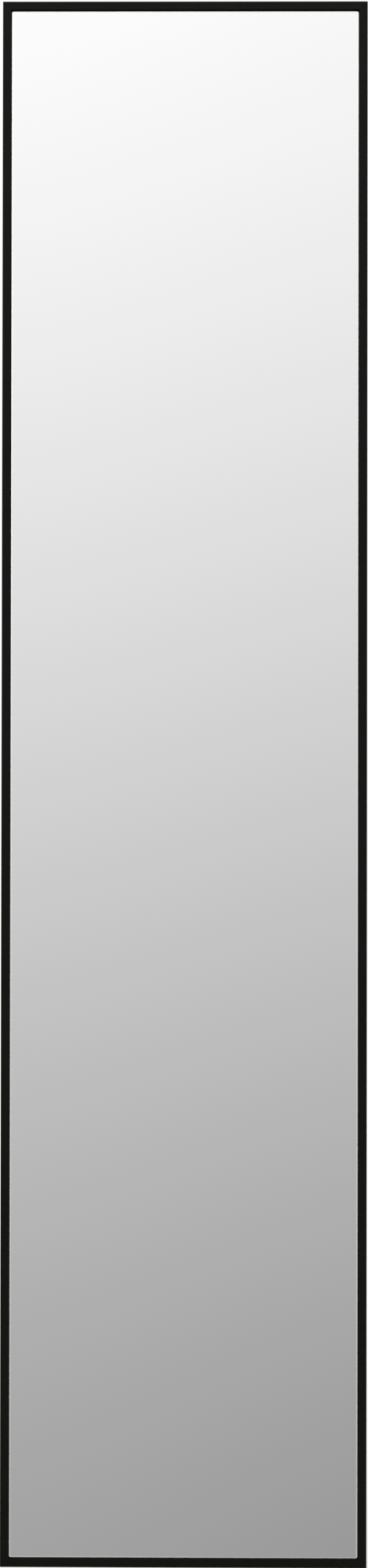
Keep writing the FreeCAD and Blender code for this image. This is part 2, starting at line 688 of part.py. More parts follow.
def board_inserts():
    """Threaded bushes in the board for the hinge screws."""
    bottom = BOARD_BACK_Y - INSERT_LENGTH
    solids = []
    for x, z in all_leaf_screw_places():
        bush = along_y(x, z, INSERT_RADIUS, BOARD_BACK_Y, bottom)
        bore = along_y(x, z, M4_RADIUS + THREAD_GAP, BOARD_BACK_Y + CUT_PAST, bottom - CUT_PAST)
        solids.append(bush.cut(bore))
    return group(solids)


# ---------------------------------------------------------------- slides
def slide_place(x, slide_z):
    """Maps distance from the wall and height about a slide's centre line to space."""
    def place(out, up):
        return Vector(x, -out, slide_z + up)
    return place


def mirrored_path(half):
    return [(out, -up) for out, up in half[::-1]] + half


def member_strip(half, start_x, length, slide_z):
    """Rolled slide member whose section is half and its mirror image."""
    place = slide_place(start_x, slide_z)
    return bent_strip(mirrored_path(half), MEMBER_SHEET, BEND_RADIUS, place, Vector(length, 0, 0))


def stop(x, root, tip, slide_z):
    """Formed stop that stands out of a member's web, between two distances from the wall."""
    return block((x, x + STOP_WIDTH), (-root, -tip), around(slide_z, STOP_HEIGHT))


def outer_member(slide_z):
    """Member that is screwed to the wall, with a race along each lip."""
    shoulder = OUTER_RACE_Z - OUTER_RACE_DEPTH
    half = [
        (MEMBER_SHEET / 2, shoulder), (BALL_Y - RACE_FLAT - RACE_FLARE, shoulder),
        (BALL_Y - RACE_FLAT, OUTER_RACE_Z), (BALL_Y + RACE_FLAT, OUTER_RACE_Z),
        (BALL_Y + RACE_FLAT + RACE_FLARE, shoulder), (SLIDE_THICKNESS - OUTER_LIP_SETBACK, shoulder),
    ]
    member = member_strip(half, SLIDE_REAR_X, SLIDE_LENGTH, slide_z)
    root = MEMBER_SHEET - STOP_ROOT
    member = member.fuse(stop(FRONT_STOP_X, root, MEMBER_SHEET + STOP_RISE, slide_z))
    web_front = -MEMBER_SHEET - CUT_PAST
    places = [(x, slide_z) for x in around(0, WALL_HOLE_SPACING)]
    tools = through(places, WALL_HOLE_RADIUS, CUT_PAST, web_front)
    wide = WALL_HOLE_RADIUS + WALL_HOLE_SINK
    profile = [(0, 0), (WALL_HOLE_RADIUS, 0), (wide, WALL_HOLE_SINK), (wide, 2 * WALL_HOLE_SINK)]
    profile += [(0, 2 * WALL_HOLE_SINK)]
    for x, z in places:
        tools.append(turned(profile, Vector(x, WALL_HOLE_SINK - MEMBER_SHEET, z), Vector(0, -1, 0)))
    stud = (SLIDE_REAR_X + BUMPER_LENGTH / 2, slide_z)
    tools += through([stud], BUMPER_STUD_RADIUS + THREAD_GAP, CUT_PAST, web_front)
    return member.cut(tools).removeSplitter()


def rear_bumper(slide_z):
    """Rubber block that the moving members run against, held by a stud through the web."""
    ends = (SLIDE_REAR_X, SLIDE_REAR_X + BUMPER_LENGTH)
    depths = (-MEMBER_SHEET, OUTER_LIP_SETBACK - SLIDE_THICKNESS)
    body = block(ends, depths, around(slide_z, BUMPER_HEIGHT))
    leading = [e for e in body.Edges if abs(e.BoundBox.XMin - ends[1]) < 1e-6]
    body = body.makeFillet(BUMPER_EDGE_RADIUS, leading)
    stud = along_y(sum(ends) / 2, slide_z, BUMPER_STUD_RADIUS, -MEMBER_SHEET - CUT_PAST, 0)
    return body.fuse(stud).removeSplitter()


def middle_member(slide_z):
    """Plain channel that runs between the two rows of balls."""
    web = MIDDLE_WEB_BACK + MEMBER_SHEET / 2
    half = [(web, MIDDLE_RACE_Z), (SLIDE_THICKNESS - MIDDLE_LIP_SETBACK, MIDDLE_RACE_Z)]
    member = member_strip(half, MOVING_REAR_X, MOVING_LENGTH, slide_z)
    rear_root = MIDDLE_WEB_BACK + STOP_ROOT
    front_root = MIDDLE_WEB_FRONT - STOP_ROOT
    rear = stop(REAR_STOP_X - STOP_WIDTH, rear_root, MIDDLE_WEB_BACK - STOP_RISE, slide_z)
    front = stop(FRONT_STOP_X, front_root, MIDDLE_WEB_FRONT + STOP_RISE, slide_z)
    member = member.fuse([rear, front])
    access = along_y(ACCESS_HOLE_X, slide_z, ACCESS_HOLE_RADIUS, 0, -MIDDLE_WEB_FRONT - CUT_PAST)
    return member.cut(access).removeSplitter()


def slide_screw_places(slide_z):
    return [(x, slide_z) for x in around(CARRIER_MIDDLE_X, SLIDE_SCREW_SPACING)]


def catch_screw_places(slide_z):
    return [(x, slide_z) for x in around(CATCH_X, CATCH_LENGTH - 2 * CATCH_SCREW_INSET)]


def inner_member(slide_z):
    """Member that carries the mirror, with a tongue bent out of its web to stop the inner balls."""
    shoulder = INNER_RACE_Z + INNER_RACE_DEPTH
    web = INNER_WEB_BACK + MEMBER_SHEET / 2
    half = [
        (web, shoulder), (BALL_Y + RACE_FLAT + RACE_FLARE, shoulder),
        (BALL_Y + RACE_FLAT, INNER_RACE_Z), (BALL_Y - RACE_FLAT, INNER_RACE_Z),
    ]
    member = member_strip(half, MOVING_REAR_X, MOVING_LENGTH, slide_z)
    tongue_x = REAR_STOP_X - MEMBER_SHEET / 2
    tip = MIDDLE_WEB_FRONT + WEB_RUNNING_GAP
    tongue_path = [(tongue_x - TONGUE_ROOT, web), (tongue_x, web), (tongue_x, tip)]

    def tongue_place(x, out):
        return Vector(x, -out, slide_z - TONGUE_WIDTH / 2)
    tongue_up = Vector(0, 0, TONGUE_WIDTH)
    tongue = bent_strip(tongue_path, MEMBER_SHEET, BEND_RADIUS, tongue_place, tongue_up)
    web_faces = (CUT_PAST - INNER_WEB_BACK, -SLIDE_THICKNESS - CUT_PAST)
    window_x = (tongue_x - BEND_RADIUS, tongue_x + web - tip)
    window = block(window_x, web_faces, around(slide_z, TONGUE_WIDTH + MEMBER_SHEET))
    holes = through(slide_screw_places(slide_z), M4_RADIUS + HOLE_GAP, *web_faces)
    holes += through(catch_screw_places(slide_z), M3_RADIUS + THREAD_GAP, *web_faces)
    return member.cut([window] + holes).fuse(tongue).removeSplitter()


def ball_places():
    row = (BALLS_PER_ROW - 1) * BALL_PITCH / 2
    return [RETAINER_X + x for x in even_places(BALLS_PER_ROW, row)]


def retainer(slide_z, web_back, ball_z):
    """Bent strip whose flanges hold two rows of balls in round pockets."""
    lip = BALL_Y + BALL_RADIUS + RETAINER_RIM
    half = [(web_back + RETAINER_SHEET / 2, ball_z), (lip, ball_z)]
    place = slide_place(RETAINER_X - RETAINER_LENGTH / 2, slide_z)
    along = Vector(RETAINER_LENGTH, 0, 0)
    strip = bent_strip(mirrored_path(half), RETAINER_SHEET, RETAINER_SHEET, place, along)
    reach = Vector(0, 0, ball_z + RETAINER_SHEET)
    pockets = []
    for x in ball_places():
        middle = Vector(x, -BALL_Y, slide_z)
        pockets.append(rod(BALL_RADIUS + POCKET_CLEARANCE, middle - reach, middle + reach))
    return strip.cut(pockets)


def outer_retainer(slide_z):
    return retainer(slide_z, MEMBER_SHEET + WEB_RUNNING_GAP, OUTER_BALL_Z)


def inner_retainer(slide_z):
    return retainer(slide_z, MIDDLE_WEB_FRONT + WEB_RUNNING_GAP, INNER_BALL_Z)


def balls(slide_z, ball_z):
    solids = []
    for x in ball_places():
        for s in (-1, 1):
            solids.append(Part.makeSphere(BALL_RADIUS, Vector(x, -BALL_Y, slide_z + s * ball_z)))
    return group(solids)


# ---------------------------------------------------------------- carrier
def buffer_places():
    return [Vector(CARRIER_FRONT_X, BUFFER_Y, z) for z in around(0, BUFFER_SPACING)]


def carrier_channel():
    """Folded steel channel that joins both slides, its flanges turned towards the wall."""
    half_sheet = CARRIER_SHEET / 2
    path = [
        (CARRIER_REAR_X + half_sheet, CARRIER_FLANGE_Y),
        (CARRIER_REAR_X + half_sheet, CARRIER_FRONT_Y + half_sheet),
        (CARRIER_FRONT_X - half_sheet, CARRIER_FRONT_Y + half_sheet),
        (CARRIER_FRONT_X - half_sheet, CARRIER_FLANGE_Y),
    ]

    def place(x, y):
        return Vector(x, y, -CARRIER_TOP_Z)
    along = Vector(0, 0, 2 * CARRIER_TOP_Z)
    channel = bent_strip(path, CARRIER_SHEET, CARRIER_BEND, place, along)
    notch_x = (CARRIER_REAR_X - CUT_PAST, CARRIER_FRONT_X + CUT_PAST)
    notch_y = (-SLIDE_THICKNESS, CARRIER_FLANGE_Y + CUT_PAST)
    notch_height = SLIDE_HEIGHT + 2 * SLIDE_NOTCH_GAP
    tools = [block(notch_x, notch_y, around(z, notch_height)) for z in SLIDES.values()]
    places = all_leaf_screw_places()
    for z in SLIDES.values():
        places += slide_screw_places(z)
    web_faces = (CUT_PAST - SLIDE_THICKNESS, CARRIER_FRONT_Y - CUT_PAST)
    tools += through(places, M4_RADIUS + HOLE_GAP, *web_faces)
    for seat in buffer_places():
        start = seat - Vector(CARRIER_SHEET + CUT_PAST, 0, 0)
        tools.append(rod(BUFFER_STEM_RADIUS + THREAD_GAP, start, seat + Vector(CUT_PAST, 0, 0)))
    return channel.cut(tools)


def swing_buffers():
    """Push-in rubber buffers that stop the panel at a quarter turn."""
    reach = AXIS_X + LEAF_NEAR - BUFFER_GAP - CARRIER_FRONT_X
    stem = BUFFER_STEM_RADIUS
    inside = -CARRIER_SHEET - THREAD_GAP
    profile = [
        (0, reach), (BUFFER_RADIUS - BUFFER_EDGE, reach), (BUFFER_RADIUS, reach - BUFFER_EDGE),
        (BUFFER_RADIUS, 0), (stem, 0), (stem, inside), (stem + BUFFER_BARB, inside),
        (stem, inside - BUFFER_TAIL), (0, inside - BUFFER_TAIL),
    ]
    return group([turned(profile, seat, Vector(1, 0, 0)) for seat in buffer_places()])


def carrier_end_cap(side):
    """Plastic cap that plugs into one end of the channel."""
    end = side * CARRIER_TOP_Z
    outside = end + side * CAP_THICKNESS
    plate_x = (CARRIER_REAR_X, CARRIER_FRONT_X)
    plate = block(plate_x, (CARRIER_FLANGE_Y, CARRIER_FRONT_Y), (end, outside))
    rim = []
    for edge in plate.Edges:
        box = edge.BoundBox
        if max(abs(box.ZMin - outside), abs(box.ZMax - outside)) < 1e-6:
            rim.append(edge)
    plate = plate.makeFillet(CAP_EDGE_RADIUS, rim)
    inset = CARRIER_SHEET + CAP_PLUG_GAP
    open_y = CARRIER_FLANGE_Y - CAP_PLUG_SETBACK
    web_y = CARRIER_FRONT_Y + inset
    corners = [
        (CARRIER_REAR_X + inset, open_y, 0), (CARRIER_FRONT_X - inset, open_y, 0),
        (CARRIER_FRONT_X - inset, web_y, CARRIER_BEND), (CARRIER_REAR_X + inset, web_y, CARRIER_BEND),
    ]

    def place(x, y):
        return Vector(x, y, end)
    plug = prism(corners, place, Vector(0, 0, -side * CAP_PLUG_LENGTH))
    return plate.fuse(plug).removeSplitter()


def slide_screws():
    length = CARRIER_SHEET + MEMBER_SHEET + M4_NUT_HEIGHT + SCREW_PAST_NUT
    solids = []
    for slide_z in SLIDES.values():
        for x, z in slide_screw_places(slide_z):
            solids.append(pan_screw(x, CARRIER_FRONT_Y, z, 1, M4_RADIUS, M4_HEAD_RADIUS, length))
    return group(solids)


def slide_nuts():
    places = [place for z in SLIDES.values() for place in slide_screw_places(z)]
    return group([m4_nut(x, -INNER_WEB_BACK, z, 1) for x, z in places])


# ---------------------------------------------------------------- hinges
def leaf(hinge_z, side, knuckles):
    """Hinge leaf: side -1 lies on the mirror's back and 1 on the carrier; knuckles are (low, high)."""
    near = AXIS_Y + side * LEAF_NEAR
    far = AXIS_Y + side * LEAF_FAR
    half = HINGE_LEAF_HEIGHT / 2
    corners = [
        (LEAF_REAR_X, -half, LEAF_CORNER_RADIUS), (LEAF_FRONT_X, -half, 0),
        (LEAF_FRONT_X, half, 0), (LEAF_REAR_X, half, LEAF_CORNER_RADIUS),
    ]

    def plate_place(x, z):
        return Vector(x, near, hinge_z + z)
    body = prism(corners, plate_place, Vector(0, far - near, 0))
    neck_start = LEAF_FRONT_X - HINGE_SHEET
    cranked = [
        (neck_start, near, 0), (AXIS_X, near, 0), (AXIS_X, AXIS_Y + side * KNUCKLE_RADIUS, 0),
        (AXIS_X - KNUCKLE_RADIUS * 0.75, far, 0), (neck_start, far, 0),
    ]
    for low, high in knuckles:
        def neck_place(x, y):
            return Vector(x, y, hinge_z + low)
        rise = Vector(0, 0, high - low)
        bottom = Vector(AXIS_X, AXIS_Y, hinge_z + low)
        body = body.fuse([prism(cranked, neck_place, rise), rod(KNUCKLE_RADIUS, bottom, bottom + rise)])
    middle = Vector(AXIS_X, AXIS_Y, hinge_z)
    beyond = Vector(0, 0, half + CUT_PAST)
    tools = [rod(PIN_BORE, middle - beyond, middle + beyond)]
    depth = HINGE_SHEET + CUT_PAST
    for x, z in leaf_screw_places(hinge_z):
        tools.append(sunk_hole(x, near, z, side, M4_RADIUS, M4_HEAD_RADIUS, depth, HOLE_GAP))
    return body.cut(tools).removeSplitter()


def carriage_leaf(hinge_z):
    half = HINGE_LEAF_HEIGHT / 2
    inner = KNUCKLE_HEIGHT / 2 + KNUCKLE_GAP
    return leaf(hinge_z, 1, [(-half, -inner), (inner, half)])


def mirror_leaf(hinge_z):
    inner = KNUCKLE_HEIGHT / 2
    return leaf(hinge_z, -1, [(-inner, inner)])


def hinge_pin(hinge_z):
    """Pin with a head above the top knuckle and a clip groove under the bottom one."""
    half = HINGE_LEAF_HEIGHT / 2
    top = half + PIN_HEAD_HEIGHT
    neck = PIN_RADIUS - CLIP_GROOVE_DEPTH
    groove_end = -half - CLIP_THICKNESS - 2 * WASHER_PLAY
    end = -half - PIN_TAIL
    profile = [
        (0, top), (PIN_HEAD_RADIUS - PIN_CHAMFER, top), (PIN_HEAD_RADIUS, top - PIN_CHAMFER),
        (PIN_HEAD_RADIUS, half), (PIN_RADIUS, half), (PIN_RADIUS, -half), (neck, -half),
        (neck, groove_end), (PIN_RADIUS, groove_end), (PIN_RADIUS, end + PIN_CHAMFER),
        (PIN_RADIUS - PIN_CHAMFER, end), (0, end),
    ]
    return turned(profile, Vector(AXIS_X, AXIS_Y, hinge_z), Vector(0, 0, 1))


def flat_ring(outer, inner, bottom, thickness):
    rise = Vector(0, 0, thickness)
    past = Vector(0, 0, CUT_PAST)
    return rod(outer, bottom, bottom + rise).cut(rod(inner, bottom - past, bottom + rise + past))


def pin_clips():
    """Open spring rings in the grooves of the pins."""
    neck = PIN_RADIUS - CLIP_GROOVE_DEPTH + THREAD_GAP
    drop = HINGE_LEAF_HEIGHT / 2 + WASHER_PLAY + CLIP_THICKNESS
    solids = []
    for hinge_z in HINGES.values():
        low = hinge_z - drop
        ring = flat_ring(CLIP_RADIUS, neck, Vector(AXIS_X, AXIS_Y, low), CLIP_THICKNESS)
        mouth_x = (AXIS_X, AXIS_X + CLIP_RADIUS + CUT_PAST)
        mouth_z = (low - CUT_PAST, low + CLIP_THICKNESS + CUT_PAST)
        solids.append(ring.cut(block(mouth_x, around(AXIS_Y, CLIP_MOUTH), mouth_z)))
    return group(solids)


def hinge_washers():
    """Plain bearing rings between the knuckles."""
    thickness = KNUCKLE_GAP - 2 * WASHER_PLAY
    offset = KNUCKLE_HEIGHT / 2 + WASHER_PLAY
    solids = []
    for hinge_z in HINGES.values():
        for low in (hinge_z + offset, hinge_z - offset - thickness):
            bottom = Vector(AXIS_X, AXIS_Y, low)
            solids.append(flat_ring(KNUCKLE_RADIUS, PIN_BORE, bottom, thickness))
    return group(solids)


def carriage_leaf_screws():
    y = AXIS_Y + LEAF_NEAR
    length = HINGE_SHEET + CARRIER_SHEET + M4_NUT_HEIGHT + SCREW_PAST_NUT
    places = all_leaf_screw_places()
    return group([sunk_screw(x, y, z, 1, M4_RADIUS, M4_HEAD_RADIUS, length) for x, z in places])


def carriage_leaf_nuts():
    return group([m4_nut(x, -SLIDE_THICKNESS, z, 1) for x, z in all_leaf_screw_places()])


def mirror_leaf_screws():
    y = PANEL_BACK_Y
    length = HINGE_SHEET + INSERT_LENGTH - INSERT_SPARE
    places = all_leaf_screw_places()
    return group([sunk_screw(x, y, z, -1, M4_RADIUS, M4_HEAD_RADIUS, length) for x, z in places])


# ---------------------------------------------------------------- catches
def catch_housing(slide_z):
    """Block on the inner member's rear end, with a pocket for a magnet and two sunk screws."""
    depths = (-SLIDE_THICKNESS, CATCH_FRONT_Y)
    body = block(around(CATCH_X, CATCH_LENGTH), depths, around(slide_z, CATCH_HEIGHT))
    corners = [e for e in body.Edges if e.BoundBox.YLength > CUT_PAST]
    body = body.makeFillet(CATCH_CORNER_RADIUS, corners)
    rim = [e for e in body.Edges if abs(e.BoundBox.YMax - CATCH_FRONT_Y) < 1e-6]
    body = body.makeFillet(CATCH_EDGE_RADIUS, rim)
    pocket_x = around(CATCH_X, MAGNET_LENGTH + 2 * THREAD_GAP)
    pocket_y = (CATCH_FRONT_Y - CUT_PAST, CATCH_FRONT_Y + MAGNET_DEPTH)
    pocket = block(pocket_x, pocket_y, around(slide_z, MAGNET_HEIGHT + 2 * THREAD_GAP))
    seat_y = -SLIDE_THICKNESS - CATCH_FLOOR
    places = catch_screw_places(slide_z)
    tools = through(places, M3_HEAD_RADIUS + HOLE_GAP, seat_y, CATCH_FRONT_Y - CUT_PAST)
    tools += through(places, M3_RADIUS + HOLE_GAP, CUT_PAST - SLIDE_THICKNESS, seat_y - CUT_PAST)
    return body.cut(tools + [pocket])


def catch_magnets():
    length = around(CATCH_X, MAGNET_LENGTH)
    depths = (CATCH_FRONT_Y, CATCH_FRONT_Y + MAGNET_DEPTH)
    return group([block(length, depths, around(z, MAGNET_HEIGHT)) for z in SLIDES.values()])


def catch_screws():
    y = -SLIDE_THICKNESS - CATCH_FLOOR
    length = CATCH_FLOOR + MEMBER_SHEET + SCREW_PAST_NUT
    places = [place for z in SLIDES.values() for place in catch_screw_places(z)]
    return group([pan_screw(x, y, z, 1, M3_RADIUS, M3_HEAD_RADIUS, length) for x, z in places])


def strike_plates():
    """Steel plates on the board that the magnets hold."""
    half_x = CATCH_LENGTH / 2
    half_z = CATCH_HEIGHT / 2
    r = CATCH_CORNER_RADIUS
    corners = [(-half_x, -half_z, r), (half_x, -half_z, r), (half_x, half_z, r), (-half_x, half_z, r)]
    plates = []
    for slide_z in SLIDES.values():
        def place(x, z):
            return Vector(CATCH_X + x, BOARD_BACK_Y, slide_z + z)
        plate = prism(corners, place, Vector(0, STRIKE_THICKNESS, 0))
        plates.append(plate.cut(strike_screw_holes(HOLE_GAP)))
    return group(plates)


def strike_screws():
    top = BOARD_BACK_Y + STRIKE_THICKNESS
    length = STRIKE_THICKNESS + BOARD_THICKNESS - STRIKE_SCREW_SPARE
    places = strike_screw_places()
    return group([sunk_screw(x, top, z, -1, M3_RADIUS, M3_HEAD_RADIUS, length) for x, z in places])


# ---------------------------------------------------------------- all nodes
def panel_nodes():
    nodes = {
        "front_stile": frame_bar(True, 1),
        "rear_stile": frame_bar(True, -1),
        "top_rail": frame_bar(False, 1),
        "bottom_rail": frame_bar(False, -1),
        "corner_key_grub_screws": grub_screws(),
        "mirror_glass": mirror_glass(),
        "safety_film": safety_film(),
        "ledge_tape": ledge_tape(),
        "foam_strips": foam_strips(),
        "glass_setting_blocks": setting_blocks(),
        "back_board": back_board(),
        "back_board_screws": board_screws(),
        "board_inserts": board_inserts(),
        "mirror_leaf_screws": mirror_leaf_screws(),
        "strike_plates": strike_plates(),
        "strike_plate_screws": strike_screws(),
    }
    for level, sz in (("bottom", -1), ("top", 1)):
        for edge, sx in (("rear", -1), ("front", 1)):
            nodes[f"corner_key_{level}_{edge}"] = corner_key(sx, sz)
    return nodes


def carrier_nodes():
    return {
        "carrier_channel": carrier_channel(),
        "carrier_cap_top": carrier_end_cap(1),
        "carrier_cap_bottom": carrier_end_cap(-1),
        "slide_screws": slide_screws(),
        "slide_nuts": slide_nuts(),
        "carriage_leaf_screws": carriage_leaf_screws(),
        "carriage_leaf_nuts": carriage_leaf_nuts(),
        "pin_clips": pin_clips(),
        "hinge_washers": hinge_washers(),
        "swing_buffers": swing_buffers(),
        "catch_magnets": catch_magnets(),
        "catch_screws": catch_screws(),
    }


def hinge_nodes(name, hinge_z):
    return {
        f"{name}_carriage_leaf": carriage_leaf(hinge_z),
        f"{name}_mirror_leaf": mirror_leaf(hinge_z),
        f"{name}_hinge_pin": hinge_pin(hinge_z),
    }


def slide_nodes(name, slide_z):
    return {
        f"{name}_outer_member": outer_member(slide_z),
        f"{name}_middle_member": middle_member(slide_z),
        f"{name}_inner_member": inner_member(slide_z),
        f"{name}_rear_bumper": rear_bumper(slide_z),
        f"{name}_outer_retainer": outer_retainer(slide_z),
        f"{name}_outer_balls": balls(slide_z, OUTER_BALL_Z),
        f"{name}_inner_retainer": inner_retainer(slide_z),
        f"{name}_inner_balls": balls(slide_z, INNER_BALL_Z),
        f"{name}_catch_housing": catch_housing(slide_z),
    }


all_nodes = panel_nodes() | carrier_nodes()
for hinge_name, hinge_height in HINGES.items():
    all_nodes |= hinge_nodes(hinge_name, hinge_height)
for slide_name, slide_height in SLIDES.items():
    all_nodes |= slide_nodes(slide_name, slide_height)

os.makedirs("parts", exist_ok=True)
for node_name, shape in all_nodes.items():
    shape.exportStep(f"parts/{node_name}.step")
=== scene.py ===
import math

import bpy
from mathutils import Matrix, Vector


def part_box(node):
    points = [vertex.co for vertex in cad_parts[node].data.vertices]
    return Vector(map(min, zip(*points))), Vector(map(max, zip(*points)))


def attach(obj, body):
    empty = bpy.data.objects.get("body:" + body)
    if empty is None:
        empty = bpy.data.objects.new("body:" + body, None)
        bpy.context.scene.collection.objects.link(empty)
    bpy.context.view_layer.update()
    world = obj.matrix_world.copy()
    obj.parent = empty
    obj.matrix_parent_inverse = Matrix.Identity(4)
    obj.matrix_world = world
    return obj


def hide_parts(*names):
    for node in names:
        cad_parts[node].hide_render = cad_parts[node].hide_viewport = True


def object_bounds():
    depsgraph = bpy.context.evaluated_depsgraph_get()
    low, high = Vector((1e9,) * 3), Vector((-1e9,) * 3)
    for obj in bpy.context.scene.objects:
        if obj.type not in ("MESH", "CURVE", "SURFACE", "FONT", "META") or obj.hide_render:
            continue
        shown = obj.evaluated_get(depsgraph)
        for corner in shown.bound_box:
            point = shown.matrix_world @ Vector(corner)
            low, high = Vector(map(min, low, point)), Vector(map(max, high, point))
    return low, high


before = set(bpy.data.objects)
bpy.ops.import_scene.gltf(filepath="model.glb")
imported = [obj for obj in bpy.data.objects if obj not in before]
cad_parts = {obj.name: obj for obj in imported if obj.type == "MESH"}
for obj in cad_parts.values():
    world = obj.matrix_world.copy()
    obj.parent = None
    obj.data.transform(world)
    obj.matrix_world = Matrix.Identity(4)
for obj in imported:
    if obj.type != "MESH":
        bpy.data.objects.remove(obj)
cad_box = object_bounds()

# ==== Slide members ====
# Two full-extension ball slides, each of an outer, a middle and an inner member that run in each other. They
# are cold-rolled from steel strip and bright zinc plated, so they carry fine lines along their length.


def put(tree, kind, feeds=None, **settings):
    """Adds a node to a tree. Feeds maps its sockets to plain values or to other nodes' sockets."""
    node = tree.nodes.new(kind)
    for label, value in settings.items():
        setattr(node, label, value)
    for socket, value in (feeds or {}).items():
        if isinstance(value, bpy.types.NodeSocket):
            tree.links.new(value, node.inputs[socket])
        else:
            node.inputs[socket].default_value = value
    return node


def calc(tree, operation, *terms):
    """The result of one operation on numbers or sockets."""
    return put(tree, "ShaderNodeMath", dict(enumerate(terms)), operation=operation).outputs[0]


def dot(tree, first, second):
    """The dot product of two vectors, which is 1 for two directions that agree."""
    return put(tree, "ShaderNodeVectorMath", {0: first, 1: second}, operation="DOT_PRODUCT").outputs["Value"]


def spread(tree, value, low, high, to_low, to_high):
    """Stretches a value from low..high onto to_low..to_high and holds it there."""
    feeds = {"Value": value, "From Min": low, "From Max": high, "To Min": to_low, "To Max": to_high}
    return put(tree, "ShaderNodeMapRange", feeds).outputs[0]


def ranged(tree, tone, low, high):
    """A number that goes from low to high as a tone goes from 0 to 1."""
    return spread(tree, tone, 0.0, 1.0, low, high)


def between(tree, share, first, second):
    """A colour between two others, by a share from 0 to 1."""
    return put(tree, "ShaderNodeMix", {0: share, 6: first, 7: second}, data_type="RGBA").outputs[2]


def effect(name, takes, gives):
    """Starts a shared shader group, and returns it with its inner inputs and outputs."""
    group = bpy.data.node_groups.new(name, "ShaderNodeTree")
    for label, value in takes.items():
        kind = "NodeSocketVector" if isinstance(value, tuple) else "NodeSocketFloat"
        group.interface.new_socket(label, in_out="INPUT", socket_type=kind).default_value = value
    for label in gives:
        group.interface.new_socket(label, in_out="OUTPUT", socket_type="NodeSocketFloat")
    inside = group.nodes.new("NodeGroupInput").outputs
    return group, inside, group.nodes.new("NodeGroupOutput").inputs


def use(tree, group, **feeds):
    """Places a shared group in a material; an underscore in a label stands for a space."""
    feeds = {label.replace("_", " "): value for label, value in feeds.items()}
    return put(tree, "ShaderNodeGroup", feeds, node_tree=group).outputs


def finish(name, **sockets):
    """Starts a material, with its constant values on the shader's own sockets."""
    material = bpy.data.materials.new(name)
    material.use_nodes = True
    tree = material.node_tree
    shader = tree.nodes["Principled BSDF"]
    for label, value in sockets.items():
        shader.inputs[label.replace("_", " ")].default_value = value
    return material, tree, shader, put(tree, "ShaderNodeTexCoord").outputs["Object"]


def feed(tree, shader, **sockets):
    """Joins changing values to the shader's sockets."""
    for label, value in sockets.items():
        tree.links.new(value, shader.inputs[label.replace("_", " ")])


def raised(tree, height, strength, distance):
    """Turns a height into a bumpy normal."""
    feeds = {"Height": height, "Strength": strength, "Distance": distance}
    return put(tree, "ShaderNodeBump", feeds).outputs["Normal"]


def dress(material, *nodes):
    """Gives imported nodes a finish."""
    for node in nodes:
        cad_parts[node].material_slots[0].material = material


# Grain: fine noise of a size in metres, drawn out along the directions where Stretch is small.
grain, takes, gives = effect(
    "grain", {"Place": (0.0, 0.0, 0.0), "Size": 0.001, "Stretch": (1.0, 1.0, 1.0)}, ["Tone", "Height"]
)
NOISE_LOW, NOISE_HIGH = 0.32, 0.68
drawn = put(grain, "ShaderNodeVectorMath", {0: takes["Place"], 1: takes["Stretch"]}, operation="MULTIPLY")
fineness = calc(grain, "DIVIDE", 1.0, takes["Size"])
noise = {"Vector": drawn.outputs[0], "Scale": fineness, "Detail": 3.0, "Roughness": 0.6}
speckle = put(grain, "ShaderNodeTexNoise", noise).outputs[0]
grain.links.new(spread(grain, speckle, NOISE_LOW, NOISE_HIGH, 0.0, 1.0), gives["Tone"])
grain.links.new(speckle, gives["Height"])

# Edge wear: 1 along rubbed edges, broken up into patches, and 0 elsewhere. An edge is where the normal of a
# rounded surface would lean away from the face's own.
edge_wear, takes, gives = effect(
    "edge_wear", {"Place": (0.0, 0.0, 0.0), "Radius": 0.0006, "Amount": 1.0}, ["Mask"]
)
FLAT_FACE, SHARP_EDGE = 0.99, 0.85
BETWEEN_PATCHES, IN_PATCHES = 0.15, 1.0
rounded = put(edge_wear, "ShaderNodeBevel", {"Radius": takes["Radius"]}, samples=4).outputs[0]
straight = put(edge_wear, "ShaderNodeNewGeometry").outputs["Normal"]
near_edge = spread(edge_wear, dot(edge_wear, rounded, straight), FLAT_FACE, SHARP_EDGE, 0.0, 1.0)
noise = {"Vector": takes["Place"], "Scale": 160.0, "Detail": 4.0}
patches = put(edge_wear, "ShaderNodeTexNoise", noise).outputs[0]
patches = spread(edge_wear, patches, 0.4, 0.62, BETWEEN_PATCHES, IN_PATCHES)
rubbed = calc(edge_wear, "MULTIPLY", near_edge, patches)
edge_wear.links.new(calc(edge_wear, "MULTIPLY", rubbed, takes["Amount"]), gives["Mask"])

# Grime and painted shade: 0 on open faces, and most where a corner or a recess is closed in within its reach.
grime_and_shade, takes, gives = effect("grime_and_shade", {"Reach": 0.001}, ["Mask"])
OPEN_FACE, CLOSED_IN = 0.8, 0.35
MOST_GRIME_AND_SHADE = 0.8
openness = put(grime_and_shade, "ShaderNodeAmbientOcclusion", {"Distance": takes["Reach"]}, samples=6, only_local=True)
grime_and_shade.links.new(spread(grime_and_shade, openness.outputs["AO"], OPEN_FACE, CLOSED_IN, 0.0, MOST_GRIME_AND_SHADE), gives["Mask"])
# The colour the mask lays on: a dark brown for grime, which also stands in for the shade in corners and
# recesses.
DIRT_AND_SHADE = (0.05, 0.047, 0.042, 1)


def plated(name, dark, light, worn, rough, line_size, bloom_size, along=(1.0, 1.0, 1.0)):
    """A plated metal: fine lines, a soft bloom of tone, brighter rubbed edges, grime and painted shade in
    recesses.
    """
    material, tree, shader, place = finish(name, Metallic=1.0)
    lines = use(tree, grain, Place=place, Size=line_size, Stretch=along)
    bloom = use(tree, grain, Place=place, Size=bloom_size)
    wear = use(tree, edge_wear, Place=place, Radius=0.0005, Amount=0.7)
    clean = between(tree, wear["Mask"], between(tree, bloom["Tone"], dark, light), worn)
    feed(
        tree, shader,
        Base_Color=between(tree, use(tree, grime_and_shade, Reach=0.0012)["Mask"], clean, DIRT_AND_SHADE),
        Roughness=ranged(tree, lines["Tone"], *rough),
        Normal=raised(tree, lines["Height"], strength=0.15, distance=0.00005),
    )
    return material


